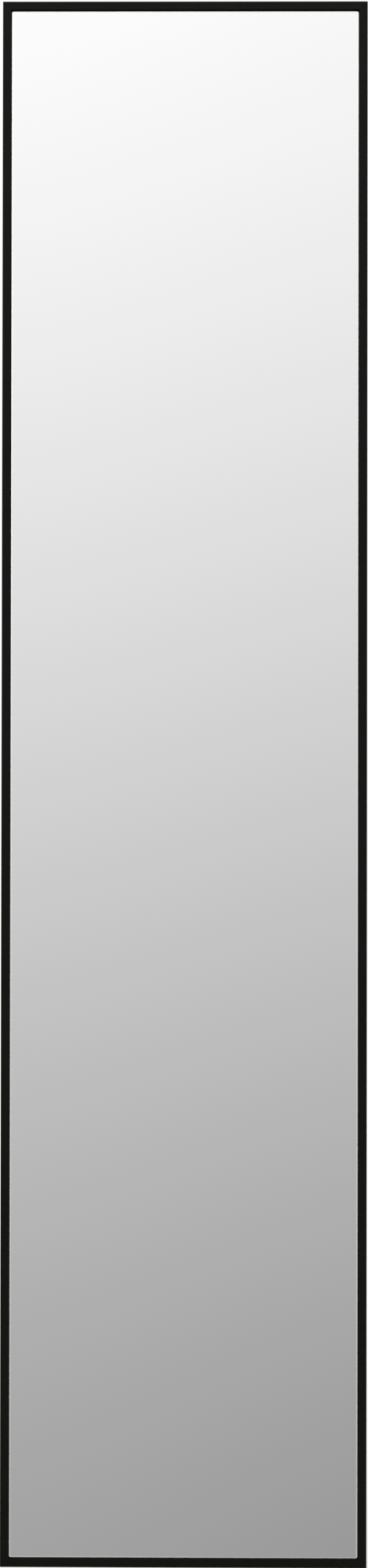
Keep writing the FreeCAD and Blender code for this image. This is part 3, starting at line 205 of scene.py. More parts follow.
slide_zinc = plated(
    "slide_zinc", dark=(0.44, 0.46, 0.48, 1), light=(0.58, 0.59, 0.59, 1), worn=(0.66, 0.67, 0.67, 1),
    rough=(0.24, 0.38), line_size=0.0005, bloom_size=0.02, along=(0.02, 1.0, 1.0),
)
SLIDES = ("upper", "lower")
for slide in SLIDES:
    dress(slide_zinc, *(f"{slide}_{part}_member" for part in ("outer", "middle", "inner")))

# ==== Ball retainers and balls ====
# Each slide has two retainers, strips of thin zinc plated steel with a pocket for every ball. Eight balls a
# row run in the races between the members; they are polished bearing steel with a film of grease.
retainer_zinc = plated(
    "retainer_zinc", dark=(0.50, 0.49, 0.42, 1), light=(0.64, 0.62, 0.55, 1), worn=(0.75, 0.75, 0.72, 1),
    rough=(0.25, 0.38), line_size=0.0005, bloom_size=0.012, along=(0.03, 1.0, 1.0),
)


def shape_tree(name, **sizes):
    """Starts a geometry tree with a named input for each size; an underscore stands for a space."""
    tree = bpy.data.node_groups.new(name, "GeometryNodeTree")
    tree.interface.new_socket("Places", in_out="INPUT", socket_type="NodeSocketGeometry")
    for label, value in sizes.items():
        kind = "NodeSocketInt" if isinstance(value, int) else "NodeSocketFloat"
        socket = tree.interface.new_socket(label.replace("_", " "), in_out="INPUT", socket_type=kind)
        socket.default_value = value
    tree.interface.new_socket("Material", in_out="INPUT", socket_type="NodeSocketMaterial")
    tree.interface.new_socket("Pieces", in_out="OUTPUT", socket_type="NodeSocketGeometry")
    return tree, tree.nodes.new("NodeGroupInput").outputs


def set_out(tree, given, shape, crease=35.0, spun=True):
    """Ends a tree: the shape, smooth between creases, at each place, aimed and spun at random, made real."""
    smooth = put(tree, "GeometryNodeSetShadeSmooth", {"Geometry": shape}, domain="FACE").outputs[0]
    fold = put(tree, "GeometryNodeInputMeshEdgeAngle").outputs[0]
    sharp = calc(tree, "GREATER_THAN", fold, math.radians(crease))
    creases = {"Geometry": smooth, "Selection": sharp, "Shade Smooth": False}
    crisp = put(tree, "GeometryNodeSetShadeSmooth", creases, domain="EDGE").outputs[0]
    aim = put(tree, "GeometryNodeInputNamedAttribute", {"Name": "aim"}, data_type="FLOAT_VECTOR").outputs[0]
    turn = put(tree, "FunctionNodeAlignRotationToVector", {"Vector": aim}, axis="Z").outputs[0]
    stand = {"Points": given["Places"], "Instance": crisp, "Rotation": turn}
    copies = put(tree, "GeometryNodeInstanceOnPoints", stand).outputs[0]
    if spun:
        angles = {2: 0.0, 3: math.tau, "Seed": 7}
        spin = put(tree, "FunctionNodeRandomValue", angles, data_type="FLOAT").outputs[1]
        spin = put(tree, "ShaderNodeCombineXYZ", {"Z": spin}).outputs[0]
        copies = put(tree, "GeometryNodeRotateInstances", {"Instances": copies, "Rotation": spin}).outputs[0]
    real = put(tree, "GeometryNodeRealizeInstances", {"Geometry": copies}).outputs[0]
    coat = {"Geometry": real, "Material": given["Material"]}
    put(tree, "NodeGroupOutput", {0: put(tree, "GeometryNodeSetMaterial", coat).outputs[0]})


def make(name, tree, places, material, body, slot, stands_for, **sizes):
    """Runs a tree at places of (position, aim), keeps the plain mesh and puts it on its body."""
    points = bpy.data.meshes.new(name)
    points.from_pydata([position for position, aim in places], [], [])
    aims = points.attributes.new("aim", "FLOAT_VECTOR", "POINT")
    aims.data.foreach_set("vector", [part for position, aim in places for part in aim])
    piece = bpy.data.objects.new(name, points)
    bpy.context.scene.collection.objects.link(piece)
    rule = piece.modifiers.new("rule", "NODES")
    rule.node_group = tree
    values = {label.replace("_", " "): value for label, value in sizes.items()}
    values["Material"] = material
    for socket in tree.interface.items_tree:
        if socket.in_out == "INPUT" and socket.name in values:
            rule[socket.identifier] = values[socket.name]
    solid = piece.evaluated_get(bpy.context.evaluated_depsgraph_get())
    mesh = bpy.data.meshes.new_from_object(solid)
    piece.modifiers.clear()
    piece.data = mesh
    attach(piece, body)
    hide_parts(stands_for)
    return piece


ball_tree, given = shape_tree("bearing_ball", Radius=0.002)
ball = put(ball_tree, "GeometryNodeMeshIcoSphere", {"Radius": given["Radius"], "Subdivisions": 4}).outputs[0]
set_out(ball_tree, given, ball)

ball_steel, tree, shader, place = finish("ball_steel", Metallic=1.0)
GREASED, BARE = (0.60, 0.60, 0.61, 1), (0.72, 0.72, 0.73, 1)
smear = use(tree, grain, Place=place, Size=0.0015)
feed(
    tree, shader,
    Base_Color=between(tree, smear["Tone"], GREASED, BARE),
    Roughness=ranged(tree, smear["Tone"], 0.06, 0.16),
)
BALL_RADIUS = 0.002
BALLS_A_ROW = 8
BALL_PITCH = 0.013
UPWARD = (0, 0, 1)
for slide in SLIDES:
    for cage in ("outer", "inner"):
        node = f"{slide}_{cage}_balls"
        low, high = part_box(node)
        rows = (low.z + BALL_RADIUS, high.z - BALL_RADIUS)
        depth = (low.y + high.y) / 2
        first = low.x + BALL_RADIUS
        places = [((first + i * BALL_PITCH, depth, z), UPWARD) for z in rows for i in range(BALLS_A_ROW)]
        make(
            f"{slide}_{cage}_bearing_balls", ball_tree, places, ball_steel, f"{slide}_{cage}_cage",
            "ball_steel", node, Radius=BALL_RADIUS,
        )
        dress(retainer_zinc, f"{slide}_{cage}_retainer")

# ==== Rear bumpers and swing buffers ====
# Moulded black rubber, dull and slightly bloomed. A bumper plugs into each outer member's rear end, and two
# round buffers are pressed through the carrier's front flange, where the open panel comes to rest.
rubber, tree, shader, place = finish("rubber", Specular_IOR_Level=0.35)
FRESH_RUBBER, BLOOMED_RUBBER = (0.013, 0.013, 0.014, 1), (0.026, 0.026, 0.027, 1)
bloom = use(tree, grain, Place=place, Size=0.004)
skin = use(tree, grain, Place=place, Size=0.0003)
feed(
    tree, shader,
    Base_Color=between(tree, bloom["Tone"], FRESH_RUBBER, BLOOMED_RUBBER),
    Roughness=ranged(tree, bloom["Tone"], 0.62, 0.82),
    Normal=raised(tree, skin["Height"], strength=0.3, distance=0.0001),
)
dress(rubber, "upper_rear_bumper", "lower_rear_bumper", "swing_buffers")

# ==== Carrier ====
# An upright channel folded from 2 mm steel that joins the two inner members, powder coated black: a satin
# skin with orange peel, thinner and rubbed paler along its folds and edges.
powder_black, tree, shader, place = finish("powder_black", Specular_IOR_Level=0.3)
POWDER, POWDER_FLECK = (0.010, 0.010, 0.011, 1), (0.017, 0.017, 0.018, 1)
RUBBED_POWDER = (0.09, 0.09, 0.09, 1)
peel = use(tree, grain, Place=place, Size=0.0012)
fleck = use(tree, grain, Place=place, Size=0.00025)
wear = use(tree, edge_wear, Place=place, Radius=0.0004, Amount=0.35)
coat = between(tree, fleck["Tone"], POWDER, POWDER_FLECK)
feed(
    tree, shader,
    Base_Color=between(tree, wear["Mask"], coat, RUBBED_POWDER),
    Roughness=ranged(tree, peel["Tone"], 0.38, 0.52),
    Normal=raised(tree, peel["Height"], strength=0.35, distance=0.00015),
)
dress(powder_black, "carrier_channel")

# ==== Carrier caps and catch housings ====
# Injection moulded black nylon. The caps plug into the channel's ends and the housings hold a magnet each.
# The mould is spark eroded, which leaves a fine even pitting, and the edges rub a little paler.
moulded_black, tree, shader, place = finish("moulded_black", Specular_IOR_Level=0.35)
DARK_NYLON, PALE_NYLON = (0.012, 0.012, 0.013, 1), (0.020, 0.020, 0.021, 1)
RUBBED_NYLON = (0.06, 0.06, 0.06, 1)
PITS_A_METRE = 3200.0
pitting = put(tree, "ShaderNodeTexVoronoi", {"Vector": place, "Scale": PITS_A_METRE}).outputs[0]
flow = use(tree, grain, Place=place, Size=0.006)
wear = use(tree, edge_wear, Place=place, Radius=0.0005, Amount=0.3)
skin = between(tree, flow["Tone"], DARK_NYLON, PALE_NYLON)
feed(
    tree, shader,
    Base_Color=between(tree, wear["Mask"], skin, RUBBED_NYLON),
    Roughness=ranged(tree, flow["Tone"], 0.45, 0.58),
    Normal=raised(tree, pitting, strength=0.3, distance=0.0001),
)
dress(moulded_black, "carrier_cap_top", "carrier_cap_bottom", "upper_catch_housing", "lower_catch_housing")

# ==== Slide screws and nuts ====
# Four M4 pan-head screws with hexagon nuts clamp the channel to the inner members. Like all the screws they
# are bright zinc plated steel with a cross recess and a rolled thread.
screw_zinc = plated(
    "screw_zinc", dark=(0.50, 0.51, 0.54, 1), light=(0.66, 0.67, 0.68, 1), worn=(0.80, 0.80, 0.80, 1),
    rough=(0.20, 0.36), line_size=0.0003, bloom_size=0.002,
)


def pick(tree, which, values):
    """The value at a whole-number place in a list."""
    node = tree.nodes.new("GeometryNodeIndexSwitch")
    node.data_type = "FLOAT"
    while len(node.index_switch_items) < len(values):
        node.index_switch_items.new()
    tree.links.new(calc(tree, "ROUND", which), node.inputs[0])
    for i, value in enumerate(values):
        if isinstance(value, bpy.types.NodeSocket):
            tree.links.new(value, node.inputs[i + 1])
        else:
            node.inputs[i + 1].default_value = value
    return node.outputs[0]


def axes(tree, vector):
    """The X, Y and Z of a place or a direction."""
    return put(tree, "ShaderNodeSeparateXYZ", {0: vector}).outputs


def blank(tree, around, rings):
    """A flat sheet to wrap into a round body, with its angle and its ring number at each point."""
    rings_less_one = calc(tree, "SUBTRACT", rings, 1.0)
    feeds = {"Size X": float(around), "Size Y": rings_less_one, "Vertices X": around + 1, "Vertices Y": rings}
    sheet = put(tree, "GeometryNodeMeshGrid", feeds).outputs[0]
    at = axes(tree, put(tree, "GeometryNodeInputPosition").outputs[0])
    angle = calc(tree, "MULTIPLY", calc(tree, "ADD", at[0], around / 2), math.tau / around)
    return sheet, angle, calc(tree, "MULTIPLY_ADD", rings_less_one, 0.5, at[1])


def wrapped(tree, sheet, radius, angle, height):
    """Wraps a sheet into a round body, its first ring at the top, and closes its seam and ends."""
    x = calc(tree, "MULTIPLY", radius, calc(tree, "COSINE", angle))
    y = calc(tree, "MULTIPLY", radius, calc(tree, "SINE", angle))
    place = put(tree, "ShaderNodeCombineXYZ", {0: x, 1: y, 2: height}).outputs[0]
    body = put(tree, "GeometryNodeSetPosition", {"Geometry": sheet, "Position": place}).outputs[0]
    closed = put(tree, "GeometryNodeMergeByDistance", {"Geometry": body, "Distance": 1e-6}).outputs[0]
    return put(tree, "GeometryNodeFlipFaces", {"Mesh": closed}).outputs[0]


def turned(tree, rings, around, wave=None):
    """A closed turned body from rings of (radius, height); wave shapes the radius round each ring."""
    sheet, angle, ring = blank(tree, around, len(rings))
    radius = pick(tree, ring, [radius for radius, height in rings])
    if wave:
        radius = wave(tree, radius, angle)
    return wrapped(tree, sheet, radius, angle, pick(tree, ring, [height for radius, height in rings]))


RINGS_A_TURN = 6.0
POINT_SHARE = 0.6


def threaded(tree, radius, depth, pitch, top, length):
    """A closed shank with a right-hand thread, from top down to its chamfered point."""
    steps = calc(tree, "ROUND", calc(tree, "MULTIPLY", calc(tree, "DIVIDE", length, pitch), RINGS_A_TURN))
    rings = calc(tree, "ADD", steps, 4.0)
    sheet, angle, ring = blank(tree, around=24, rings=rings)
    last = calc(tree, "SUBTRACT", rings, 3.0)
    step = calc(tree, "MINIMUM", calc(tree, "MAXIMUM", calc(tree, "SUBTRACT", ring, 1.0), 0.0), last)
    down = calc(tree, "MULTIPLY", calc(tree, "DIVIDE", step, last), length)
    height = calc(tree, "SUBTRACT", top, down)
    winding = calc(tree, "DIVIDE", angle, -math.tau)
    phase = calc(tree, "FRACT", calc(tree, "ADD", calc(tree, "DIVIDE", height, pitch), winding))
    valley = calc(tree, "ABSOLUTE", calc(tree, "MULTIPLY_ADD", phase, 2.0, -1.0))
    wavy = calc(tree, "SUBTRACT", radius, calc(tree, "MULTIPLY", valley, depth))
    left = calc(tree, "SUBTRACT", length, down)
    point = calc(tree, "ADD", left, calc(tree, "MULTIPLY", radius, POINT_SHARE))
    wavy = calc(tree, "MINIMUM", wavy, calc(tree, "MINIMUM", point, radius))
    # The first and the last ring shrink to a point each and close the ends.
    past_first = calc(tree, "GREATER_THAN", ring, 0.5)
    before_last = calc(tree, "LESS_THAN", ring, calc(tree, "SUBTRACT", rings, 1.5))
    inside = calc(tree, "MULTIPLY", past_first, before_last)
    return wrapped(tree, sheet, calc(tree, "MULTIPLY", wavy, inside), angle, height)


ARM_WIDTH_SHARE = 0.26
LEAST_DIVISOR = 0.02


def cross_wave(tree, radius, angle):
    """Turns a ring into a cross with arms a quarter as wide as they are long."""
    c = calc(tree, "MAXIMUM", calc(tree, "ABSOLUTE", calc(tree, "COSINE", angle)), LEAST_DIVISOR)
    s = calc(tree, "MAXIMUM", calc(tree, "ABSOLUTE", calc(tree, "SINE", angle)), LEAST_DIVISOR)
    level = calc(tree, "MINIMUM", calc(tree, "DIVIDE", 1.0, c), calc(tree, "DIVIDE", ARM_WIDTH_SHARE, s))
    upright = calc(tree, "MINIMUM", calc(tree, "DIVIDE", 1.0, s), calc(tree, "DIVIDE", ARM_WIDTH_SHARE, c))
    return calc(tree, "MULTIPLY", radius, calc(tree, "MAXIMUM", level, upright))


def carved(tree, body, tool):
    """A body with a tool's shape cut out of it."""
    feeds = {"Mesh 1": body, "Mesh 2": tool}
    return put(tree, "GeometryNodeMeshBoolean", feeds, operation="DIFFERENCE", solver="EXACT").outputs[0]


def recessed(tree, head, top, head_radius):
    """Sinks a tapered cross recess into the top of a head, in proportion to the head's radius."""
    def share(part):
        return calc(tree, "MULTIPLY", head_radius, part)
    mouth, floor = share(0.68), share(0.36)
    over = calc(tree, "ADD", top, share(0.2))
    under = calc(tree, "SUBTRACT", top, share(0.38))
    point = calc(tree, "SUBTRACT", top, share(0.5))
    rings = [(0.0, over), (mouth, over), (floor, under), (0.0, point)]
    return carved(tree, head, turned(tree, rings, around=48, wave=cross_wave))


def together(tree, *shapes):
    """Several shapes as one."""
    join = tree.nodes.new("GeometryNodeJoinGeometry")
    for shape in shapes:
        tree.links.new(shape, join.inputs[0])
    return join.outputs[0]


pan_tree, given = shape_tree(
    "pan_head_screw", Head_Radius=0.0039, Head_Height=0.0024, Shank_Radius=0.002, Length=0.007, Pitch=0.0007
)
head_radius, head_height = given["Head Radius"], given["Head Height"]
DOME = (
    (0.0, 1.0), (0.35, 0.99), (0.58, 0.95), (0.76, 0.86), (0.89, 0.72), (0.97, 0.52), (1.0, 0.3), (1.0, 0.04),
    (0.98, 0.0), (0.0, 0.0),
)
rings = [
    (calc(pan_tree, "MULTIPLY", head_radius, across), calc(pan_tree, "MULTIPLY", head_height, up))
    for across, up in DOME
]
head = recessed(pan_tree, turned(pan_tree, rings, around=40), head_height, head_radius)
THREAD_DEPTH_SHARE = 0.55
SHANK_INTO_HEAD = 0.0003
depth = calc(pan_tree, "MULTIPLY", given["Pitch"], THREAD_DEPTH_SHARE)
shank = threaded(pan_tree, given["Shank Radius"], depth, given["Pitch"], SHANK_INTO_HEAD, given["Length"])
set_out(pan_tree, given, together(pan_tree, head, shank))

nut_tree, given = shape_tree("hexagon_nut", Across_Flats=0.007, Height=0.0032, Bore_Radius=0.0019)


def hexagon_wave(across_flats):
    """Cuts rings down to a hexagon."""
    def wave(tree, radius, angle):
        sixth = math.tau / 6
        within = calc(tree, "SUBTRACT", calc(tree, "MODULO", angle, sixth), sixth / 2)
        flat = calc(tree, "DIVIDE", calc(tree, "MULTIPLY", across_flats, 0.5), calc(tree, "COSINE", within))
        return calc(tree, "MINIMUM", radius, flat)
    return wave


def nut_ring(size, across, up):
    """A ring of the nut, by shares of one of its sizes and of its height."""
    return calc(nut_tree, "MULTIPLY", given[size], across), calc(nut_tree, "MULTIPLY", given["Height"], up)


NUT_CORNER = ((0.47, 0.0), (0.505, 0.035), (0.545, 0.075), (0.60, 0.13))
BORE_MOUTH = 1.12
rings = [nut_ring("Bore Radius", 1.0, 0.92), nut_ring("Bore Radius", BORE_MOUTH, 1.0)]
rings += [nut_ring("Across Flats", across, 1.0 - up) for across, up in NUT_CORNER]
rings += [nut_ring("Across Flats", across, up) for across, up in reversed(NUT_CORNER)]
rings += [nut_ring("Bore Radius", BORE_MOUTH, 0.0), nut_ring("Bore Radius", 1.0, 0.08), rings[0]]
nut = turned(nut_tree, rings, around=48, wave=hexagon_wave(given["Across Flats"]))
set_out(nut_tree, given, nut, crease=25.0)

TO_ROOM, TO_WALL = (0, -1, 0), (0, 1, 0)
M4_RADIUS = 0.002
M4_HEAD_RADIUS = 0.0039


def middle_height(node):
    """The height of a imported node's middle."""
    low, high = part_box(node)
    return (low.z + high.z) / 2


def screw_columns(node, head_radius):
    """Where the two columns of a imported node's screws stand along X."""
    low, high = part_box(node)
    return low.x + head_radius, high.x - head_radius


def grid(columns, rows):
    """The spots (x, z) where columns and rows cross."""
    return [(x, z) for x in columns for z in rows]


def fasten(name, tree, node, body, spots, seat, aim, material=screw_zinc, slot="zinc_screws", **sizes):
    """Puts a fastener at each spot of a face at depth seat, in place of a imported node."""
    make(name, tree, [((x, seat, z), aim) for x, z in spots], material, body, slot, node, **sizes)


SLIDE_HEIGHTS = [middle_height(f"{slide}_inner_member") for slide in SLIDES]
slide_spots = grid(screw_columns("slide_screws", M4_HEAD_RADIUS), SLIDE_HEIGHTS)
carrier_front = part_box("carrier_channel")[0].y
screw_low, screw_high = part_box("slide_screws")
fasten(
    "slide_screws_pan", pan_tree, "slide_screws", "carriage", slide_spots, carrier_front, TO_ROOM,
    Head_Radius=M4_HEAD_RADIUS, Head_Height=carrier_front - screw_low.y, Shank_Radius=M4_RADIUS,
    Length=screw_high.y - carrier_front,
)
nut_low, nut_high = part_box("slide_nuts")
nut_height = nut_high.y - nut_low.y
fasten(
    "slide_hexagon_nuts", nut_tree, "slide_nuts", "carriage", slide_spots, nut_low.y, TO_WALL,
    Height=nut_height,
)

# ==== Hinges ====
# Three butt hinges of 2.4 mm steel, satin nickel plated and brushed upright. In each a headed pin runs
# through three knuckles, with a natural nylon ring on both sides of the middle one and a blued clip below.
nickel = plated(
    "satin_nickel", dark=(0.47, 0.455, 0.43, 1), light=(0.58, 0.565, 0.535, 1), worn=(0.72, 0.71, 0.68, 1),
    rough=(0.26, 0.40), line_size=0.0005, bloom_size=0.015, along=(1.0, 1.0, 0.02),
)
HINGES = ("top", "middle", "bottom")
for hinge in HINGES:
    dress(nickel, f"{hinge}_carriage_leaf", f"{hinge}_mirror_leaf", f"{hinge}_hinge_pin")

blued_steel = plated(
    "blued_steel", dark=(0.05, 0.052, 0.06, 1), light=(0.11, 0.11, 0.12, 1), worn=(0.45, 0.45, 0.46, 1),
    rough=(0.30, 0.45), line_size=0.0004, bloom_size=0.002,
)
dress(blued_steel, "pin_clips")

nylon, tree, shader, place = finish("nylon", Subsurface_Weight=0.08, Subsurface_Scale=0.001)
YELLOWED, MILKY = (0.66, 0.64, 0.58, 1), (0.76, 0.75, 0.70, 1)
cloud = use(tree, grain, Place=place, Size=0.003)
feed(
    tree, shader,
    Base_Color=between(tree, cloud["Tone"], YELLOWED, MILKY),
    Roughness=ranged(tree, cloud["Tone"], 0.34, 0.46),
)
ring_tree, given = shape_tree("bearing_ring", Outer_Radius=0.0054, Bore_Radius=0.003, Thickness=0.0009)
SOFT_EDGE = 0.00015
wide, bore, thick = given["Outer Radius"], given["Bore Radius"], given["Thickness"]
inner_wide = calc(ring_tree, "SUBTRACT", wide, SOFT_EDGE)
inner_thick = calc(ring_tree, "SUBTRACT", thick, SOFT_EDGE)
rings = [
    (bore, thick), (inner_wide, thick), (wide, inner_thick), (wide, SOFT_EDGE), (inner_wide, 0.0),
    (bore, 0.0), (bore, thick),
]
set_out(ring_tree, given, turned(ring_tree, rings, around=48))
pin_low, pin_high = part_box("middle_hinge_pin")
AXIS = ((pin_low.x + pin_high.x) / 2, (pin_low.y + pin_high.y) / 2)
HINGE_HEIGHTS = [middle_height(f"{hinge}_carriage_leaf") for hinge in HINGES]
KNUCKLE_HALF = 0.013
RING_THICKNESS = 0.0009
RING_PLAY = 0.00005
starts = (KNUCKLE_HALF + RING_PLAY, -KNUCKLE_HALF - RING_PLAY - RING_THICKNESS)
make(
    "hinge_bearing_rings", ring_tree,
    [((*AXIS, z + start), UPWARD) for z in HINGE_HEIGHTS for start in starts],
    nylon, "carriage", "bearing_plastic", "hinge_washers", Thickness=RING_THICKNESS,
)

# ==== Hinge screws ====
# M4 countersunk screws. On the carrier's side they go through the channel into nuts behind it, and on the
# mirror's side into knurled brass inserts in the back board.
sunk_tree, given = shape_tree(
    "countersunk_screw", Head_Radius=0.0039, Rim=0.0002, Shank_Radius=0.002, Length=0.008, Pitch=0.0007
)
RIM_BEVEL_WIDTH, RIM_BEVEL_DEPTH = 0.0001, 0.00008
SUNK_THREAD_DEPTH_SHARE = 0.5
head_radius, rim, thin = given["Head Radius"], given["Rim"], given["Shank Radius"]
cone_end = calc(sunk_tree, "SUBTRACT", calc(sunk_tree, "SUBTRACT", thin, head_radius), rim)
soft_rim = calc(sunk_tree, "SUBTRACT", head_radius, RIM_BEVEL_WIDTH)
under_rim = calc(sunk_tree, "MULTIPLY", rim, -1.0)
rings = [
    (0.0, 0.0), (soft_rim, 0.0), (head_radius, -RIM_BEVEL_DEPTH), (head_radius, under_rim), (thin, cone_end),
    (0.0, cone_end),
]
head = recessed(sunk_tree, turned(sunk_tree, rings, around=40), 0.0, head_radius)
depth = calc(sunk_tree, "MULTIPLY", given["Pitch"], SUNK_THREAD_DEPTH_SHARE)
neck = calc(sunk_tree, "ADD", cone_end, SHANK_INTO_HEAD)
shank = threaded(sunk_tree, thin, depth, given["Pitch"], neck, calc(sunk_tree, "ADD", given["Length"], neck))
set_out(sunk_tree, given, together(sunk_tree, head, shank))


def sink(name, node, body, spots, aim, **sizes):
    """Sinks countersunk screws flush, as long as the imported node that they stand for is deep."""
    low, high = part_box(node)
    seat = low.y if aim == TO_ROOM else high.y
    fasten(name, sunk_tree, node, body, spots, seat, aim, Length=high.y - low.y, **sizes)


LEAF_SCREW_RISE = 0.028
leaf_rows = [z + rise for z in HINGE_HEIGHTS for rise in (-LEAF_SCREW_RISE, LEAF_SCREW_RISE)]
leaf_spots = grid(screw_columns("carriage_leaf_screws", M4_HEAD_RADIUS), leaf_rows)
sink("carriage_leaf_screws_sunk", "carriage_leaf_screws", "carriage", leaf_spots, TO_ROOM)
nut_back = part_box("carriage_leaf_nuts")[0].y
fasten(
    "carriage_leaf_hexagon_nuts", nut_tree, "carriage_leaf_nuts", "carriage", leaf_spots, nut_back, TO_WALL,
    Height=nut_height,
)
sink("mirror_leaf_screws_sunk", "mirror_leaf_screws", "mirror_panel", leaf_spots, TO_WALL)

brass, tree, shader, place = finish("brass", Metallic=1.0)
TARNISHED, BRIGHT = (0.60, 0.42, 0.16, 1), (0.76, 0.58, 0.26, 1)
tarnish = use(tree, grain, Place=place, Size=0.0025)
feed(
    tree, shader,
    Base_Color=between(tree, tarnish["Tone"], TARNISHED, BRIGHT),
    Roughness=ranged(tree, tarnish["Tone"], 0.24, 0.38),
)
insert_tree, given = shape_tree("knurled_insert", Radius=0.003, Bore_Radius=0.00203, Length=0.008, Teeth=18)
TOOTH_HALF = 0.00012
KNURLED_SHARE = 0.97
WAIST_SHARE = 0.88


def knurl_wave(tree, radius, angle):
    """Cuts shallow upright teeth into every ring that stands at the full radius."""
    tooth = calc(tree, "COSINE", calc(tree, "MULTIPLY", angle, given["Teeth"]))
    cut = calc(tree, "MULTIPLY_ADD", tooth, TOOTH_HALF, TOOTH_HALF)
    standing = calc(tree, "GREATER_THAN", radius, calc(tree, "MULTIPLY", given["Radius"], KNURLED_SHARE))
    return calc(tree, "SUBTRACT", radius, calc(tree, "MULTIPLY", cut, standing))


wide, bore, length = given["Radius"], given["Bore Radius"], given["Length"]
waist = calc(insert_tree, "MULTIPLY", wide, WAIST_SHARE)
BANDS = (
    (waist, 0.0), (wide, 0.05), (wide, 0.4), (waist, 0.44), (waist, 0.56), (wide, 0.6), (wide, 0.95),
    (waist, 1.0), (bore, 1.0),
)
rings = [(across, calc(insert_tree, "MULTIPLY", length, -down)) for across, down in BANDS]
rings = [(bore, 0.0), *rings, (bore, 0.0)]
set_out(insert_tree, given, turned(insert_tree, rings, around=72, wave=knurl_wave))
insert_low, insert_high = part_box("board_inserts")
fasten(
    "board_knurled_inserts", insert_tree, "board_inserts", "mirror_panel", leaf_spots, insert_high.y, TO_WALL,
    brass, "brass", Length=insert_high.y - insert_low.y,
)

# ==== Magnetic catches ====
# A ferrite magnet in each housing meets a nickel plated strike plate on the board and holds the panel shut.
# Ferrite is a dark grey ceramic with tiny pits; the housings and the plates are held by M3 screws.
ferrite, tree, shader, place = finish("ferrite", Metallic=0.2)
DARK_FERRITE, PALE_FERRITE = (0.030, 0.030, 0.032, 1), (0.055, 0.055, 0.057, 1)
CHIPPED = (0.12, 0.12, 0.12, 1)
pits = use(tree, grain, Place=place, Size=0.0006)
chips = use(tree, edge_wear, Place=place, Radius=0.0005, Amount=0.5)
feed(
    tree, shader,
    Base_Color=between(tree, chips["Mask"], between(tree, pits["Tone"], DARK_FERRITE, PALE_FERRITE), CHIPPED),
    Roughness=ranged(tree, pits["Tone"], 0.40, 0.60),
    Normal=raised(tree, pits["Height"], strength=0.3, distance=0.0001),
)
dress(ferrite, "catch_magnets")
strike_nickel = plated(
    "strike_nickel", dark=(0.50, 0.49, 0.47, 1), light=(0.62, 0.61, 0.58, 1), worn=(0.74, 0.73, 0.70, 1),
    rough=(0.22, 0.34), line_size=0.0005, bloom_size=0.01, along=(0.03, 1.0, 1.0),
)
dress(strike_nickel, "strike_plates")
M3_RADIUS = 0.0015
M3_HEAD_RADIUS = 0.0028
M3_PITCH = 0.0005
CATCH_FLOOR = 0.003
catch_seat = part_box("upper_catch_housing")[1].y - CATCH_FLOOR
catch_spots = grid(screw_columns("catch_screws", M3_HEAD_RADIUS), SLIDE_HEIGHTS)
screw_low, screw_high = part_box("catch_screws")
fasten(
    "catch_screws_pan", pan_tree, "catch_screws", "carriage", catch_spots, catch_seat, TO_ROOM,
    Head_Radius=M3_HEAD_RADIUS, Head_Height=catch_seat - screw_low.y, Shank_Radius=M3_RADIUS,
    Length=screw_high.y - catch_seat, Pitch=M3_PITCH,
)
strike_spots = grid(screw_columns("strike_plate_screws", M3_HEAD_RADIUS), SLIDE_HEIGHTS)
sink(
    "strike_screws_sunk", "strike_plate_screws", "mirror_panel", strike_spots, TO_WALL,
    Head_Radius=M3_HEAD_RADIUS, Shank_Radius=M3_RADIUS, Pitch=M3_PITCH,
)

# ==== Panel frame ====
# Four bars of hollow aluminium extrusion, mitred at the corners, bead blasted and anodised black: dead matt,
# with the faintest die lines along each bar and edges a little paler where they get touched. The walls that
# face the glass are rougher still.
BLACK, WARM_BLACK = (0.0042, 0.0042, 0.0030, 1), (0.0054, 0.0054, 0.0040, 1)
BLASTED = (0.0076, 0.0076, 0.0060, 1)
TOUCHED = (0.05, 0.05, 0.048, 1)
GLASS_SIDE_ROUGHER = 0.5


def own_normal(tree):
    """Which way a face points on the object itself, however the object is turned."""
    return put(tree, "ShaderNodeTexCoord").outputs["Normal"]


def anodised(name, along):
    """Black anodised aluminium with die lines along one way."""
    material, tree, shader, place = finish(name, Specular_IOR_Level=0.06)
    outward = dot(tree, own_normal(tree), place)
    rougher = spread(tree, outward, 0.0, -0.1, 0.0, GLASS_SIDE_ROUGHER)
    blast = use(tree, grain, Place=place, Size=0.0004)
    die = use(tree, grain, Place=place, Size=0.0008, Stretch=along)
    cloud = use(tree, grain, Place=place, Size=0.025)
    wear = use(tree, edge_wear, Place=place, Radius=0.0005, Amount=0.08)
    skin = between(tree, cloud["Tone"], BLACK, WARM_BLACK)
    skin = between(tree, calc(tree, "MULTIPLY", blast["Tone"], 0.35), skin, BLASTED)
    height = calc(tree, "ADD", blast["Height"], calc(tree, "MULTIPLY", die["Height"], 0.5))
    feed(
        tree, shader,
        Base_Color=between(tree, wear["Mask"], skin, TOUCHED),
        Roughness=calc(tree, "ADD", ranged(tree, die["Tone"], 0.42, 0.5), rougher),
        Normal=raised(tree, height, strength=0.2, distance=0.00006),
    )
    return material


dress(anodised("anodised_upright", (1.0, 1.0, 0.02)), "front_stile", "rear_stile")
dress(anodised("anodised_level", (0.02, 1.0, 1.0)), "top_rail", "bottom_rail")

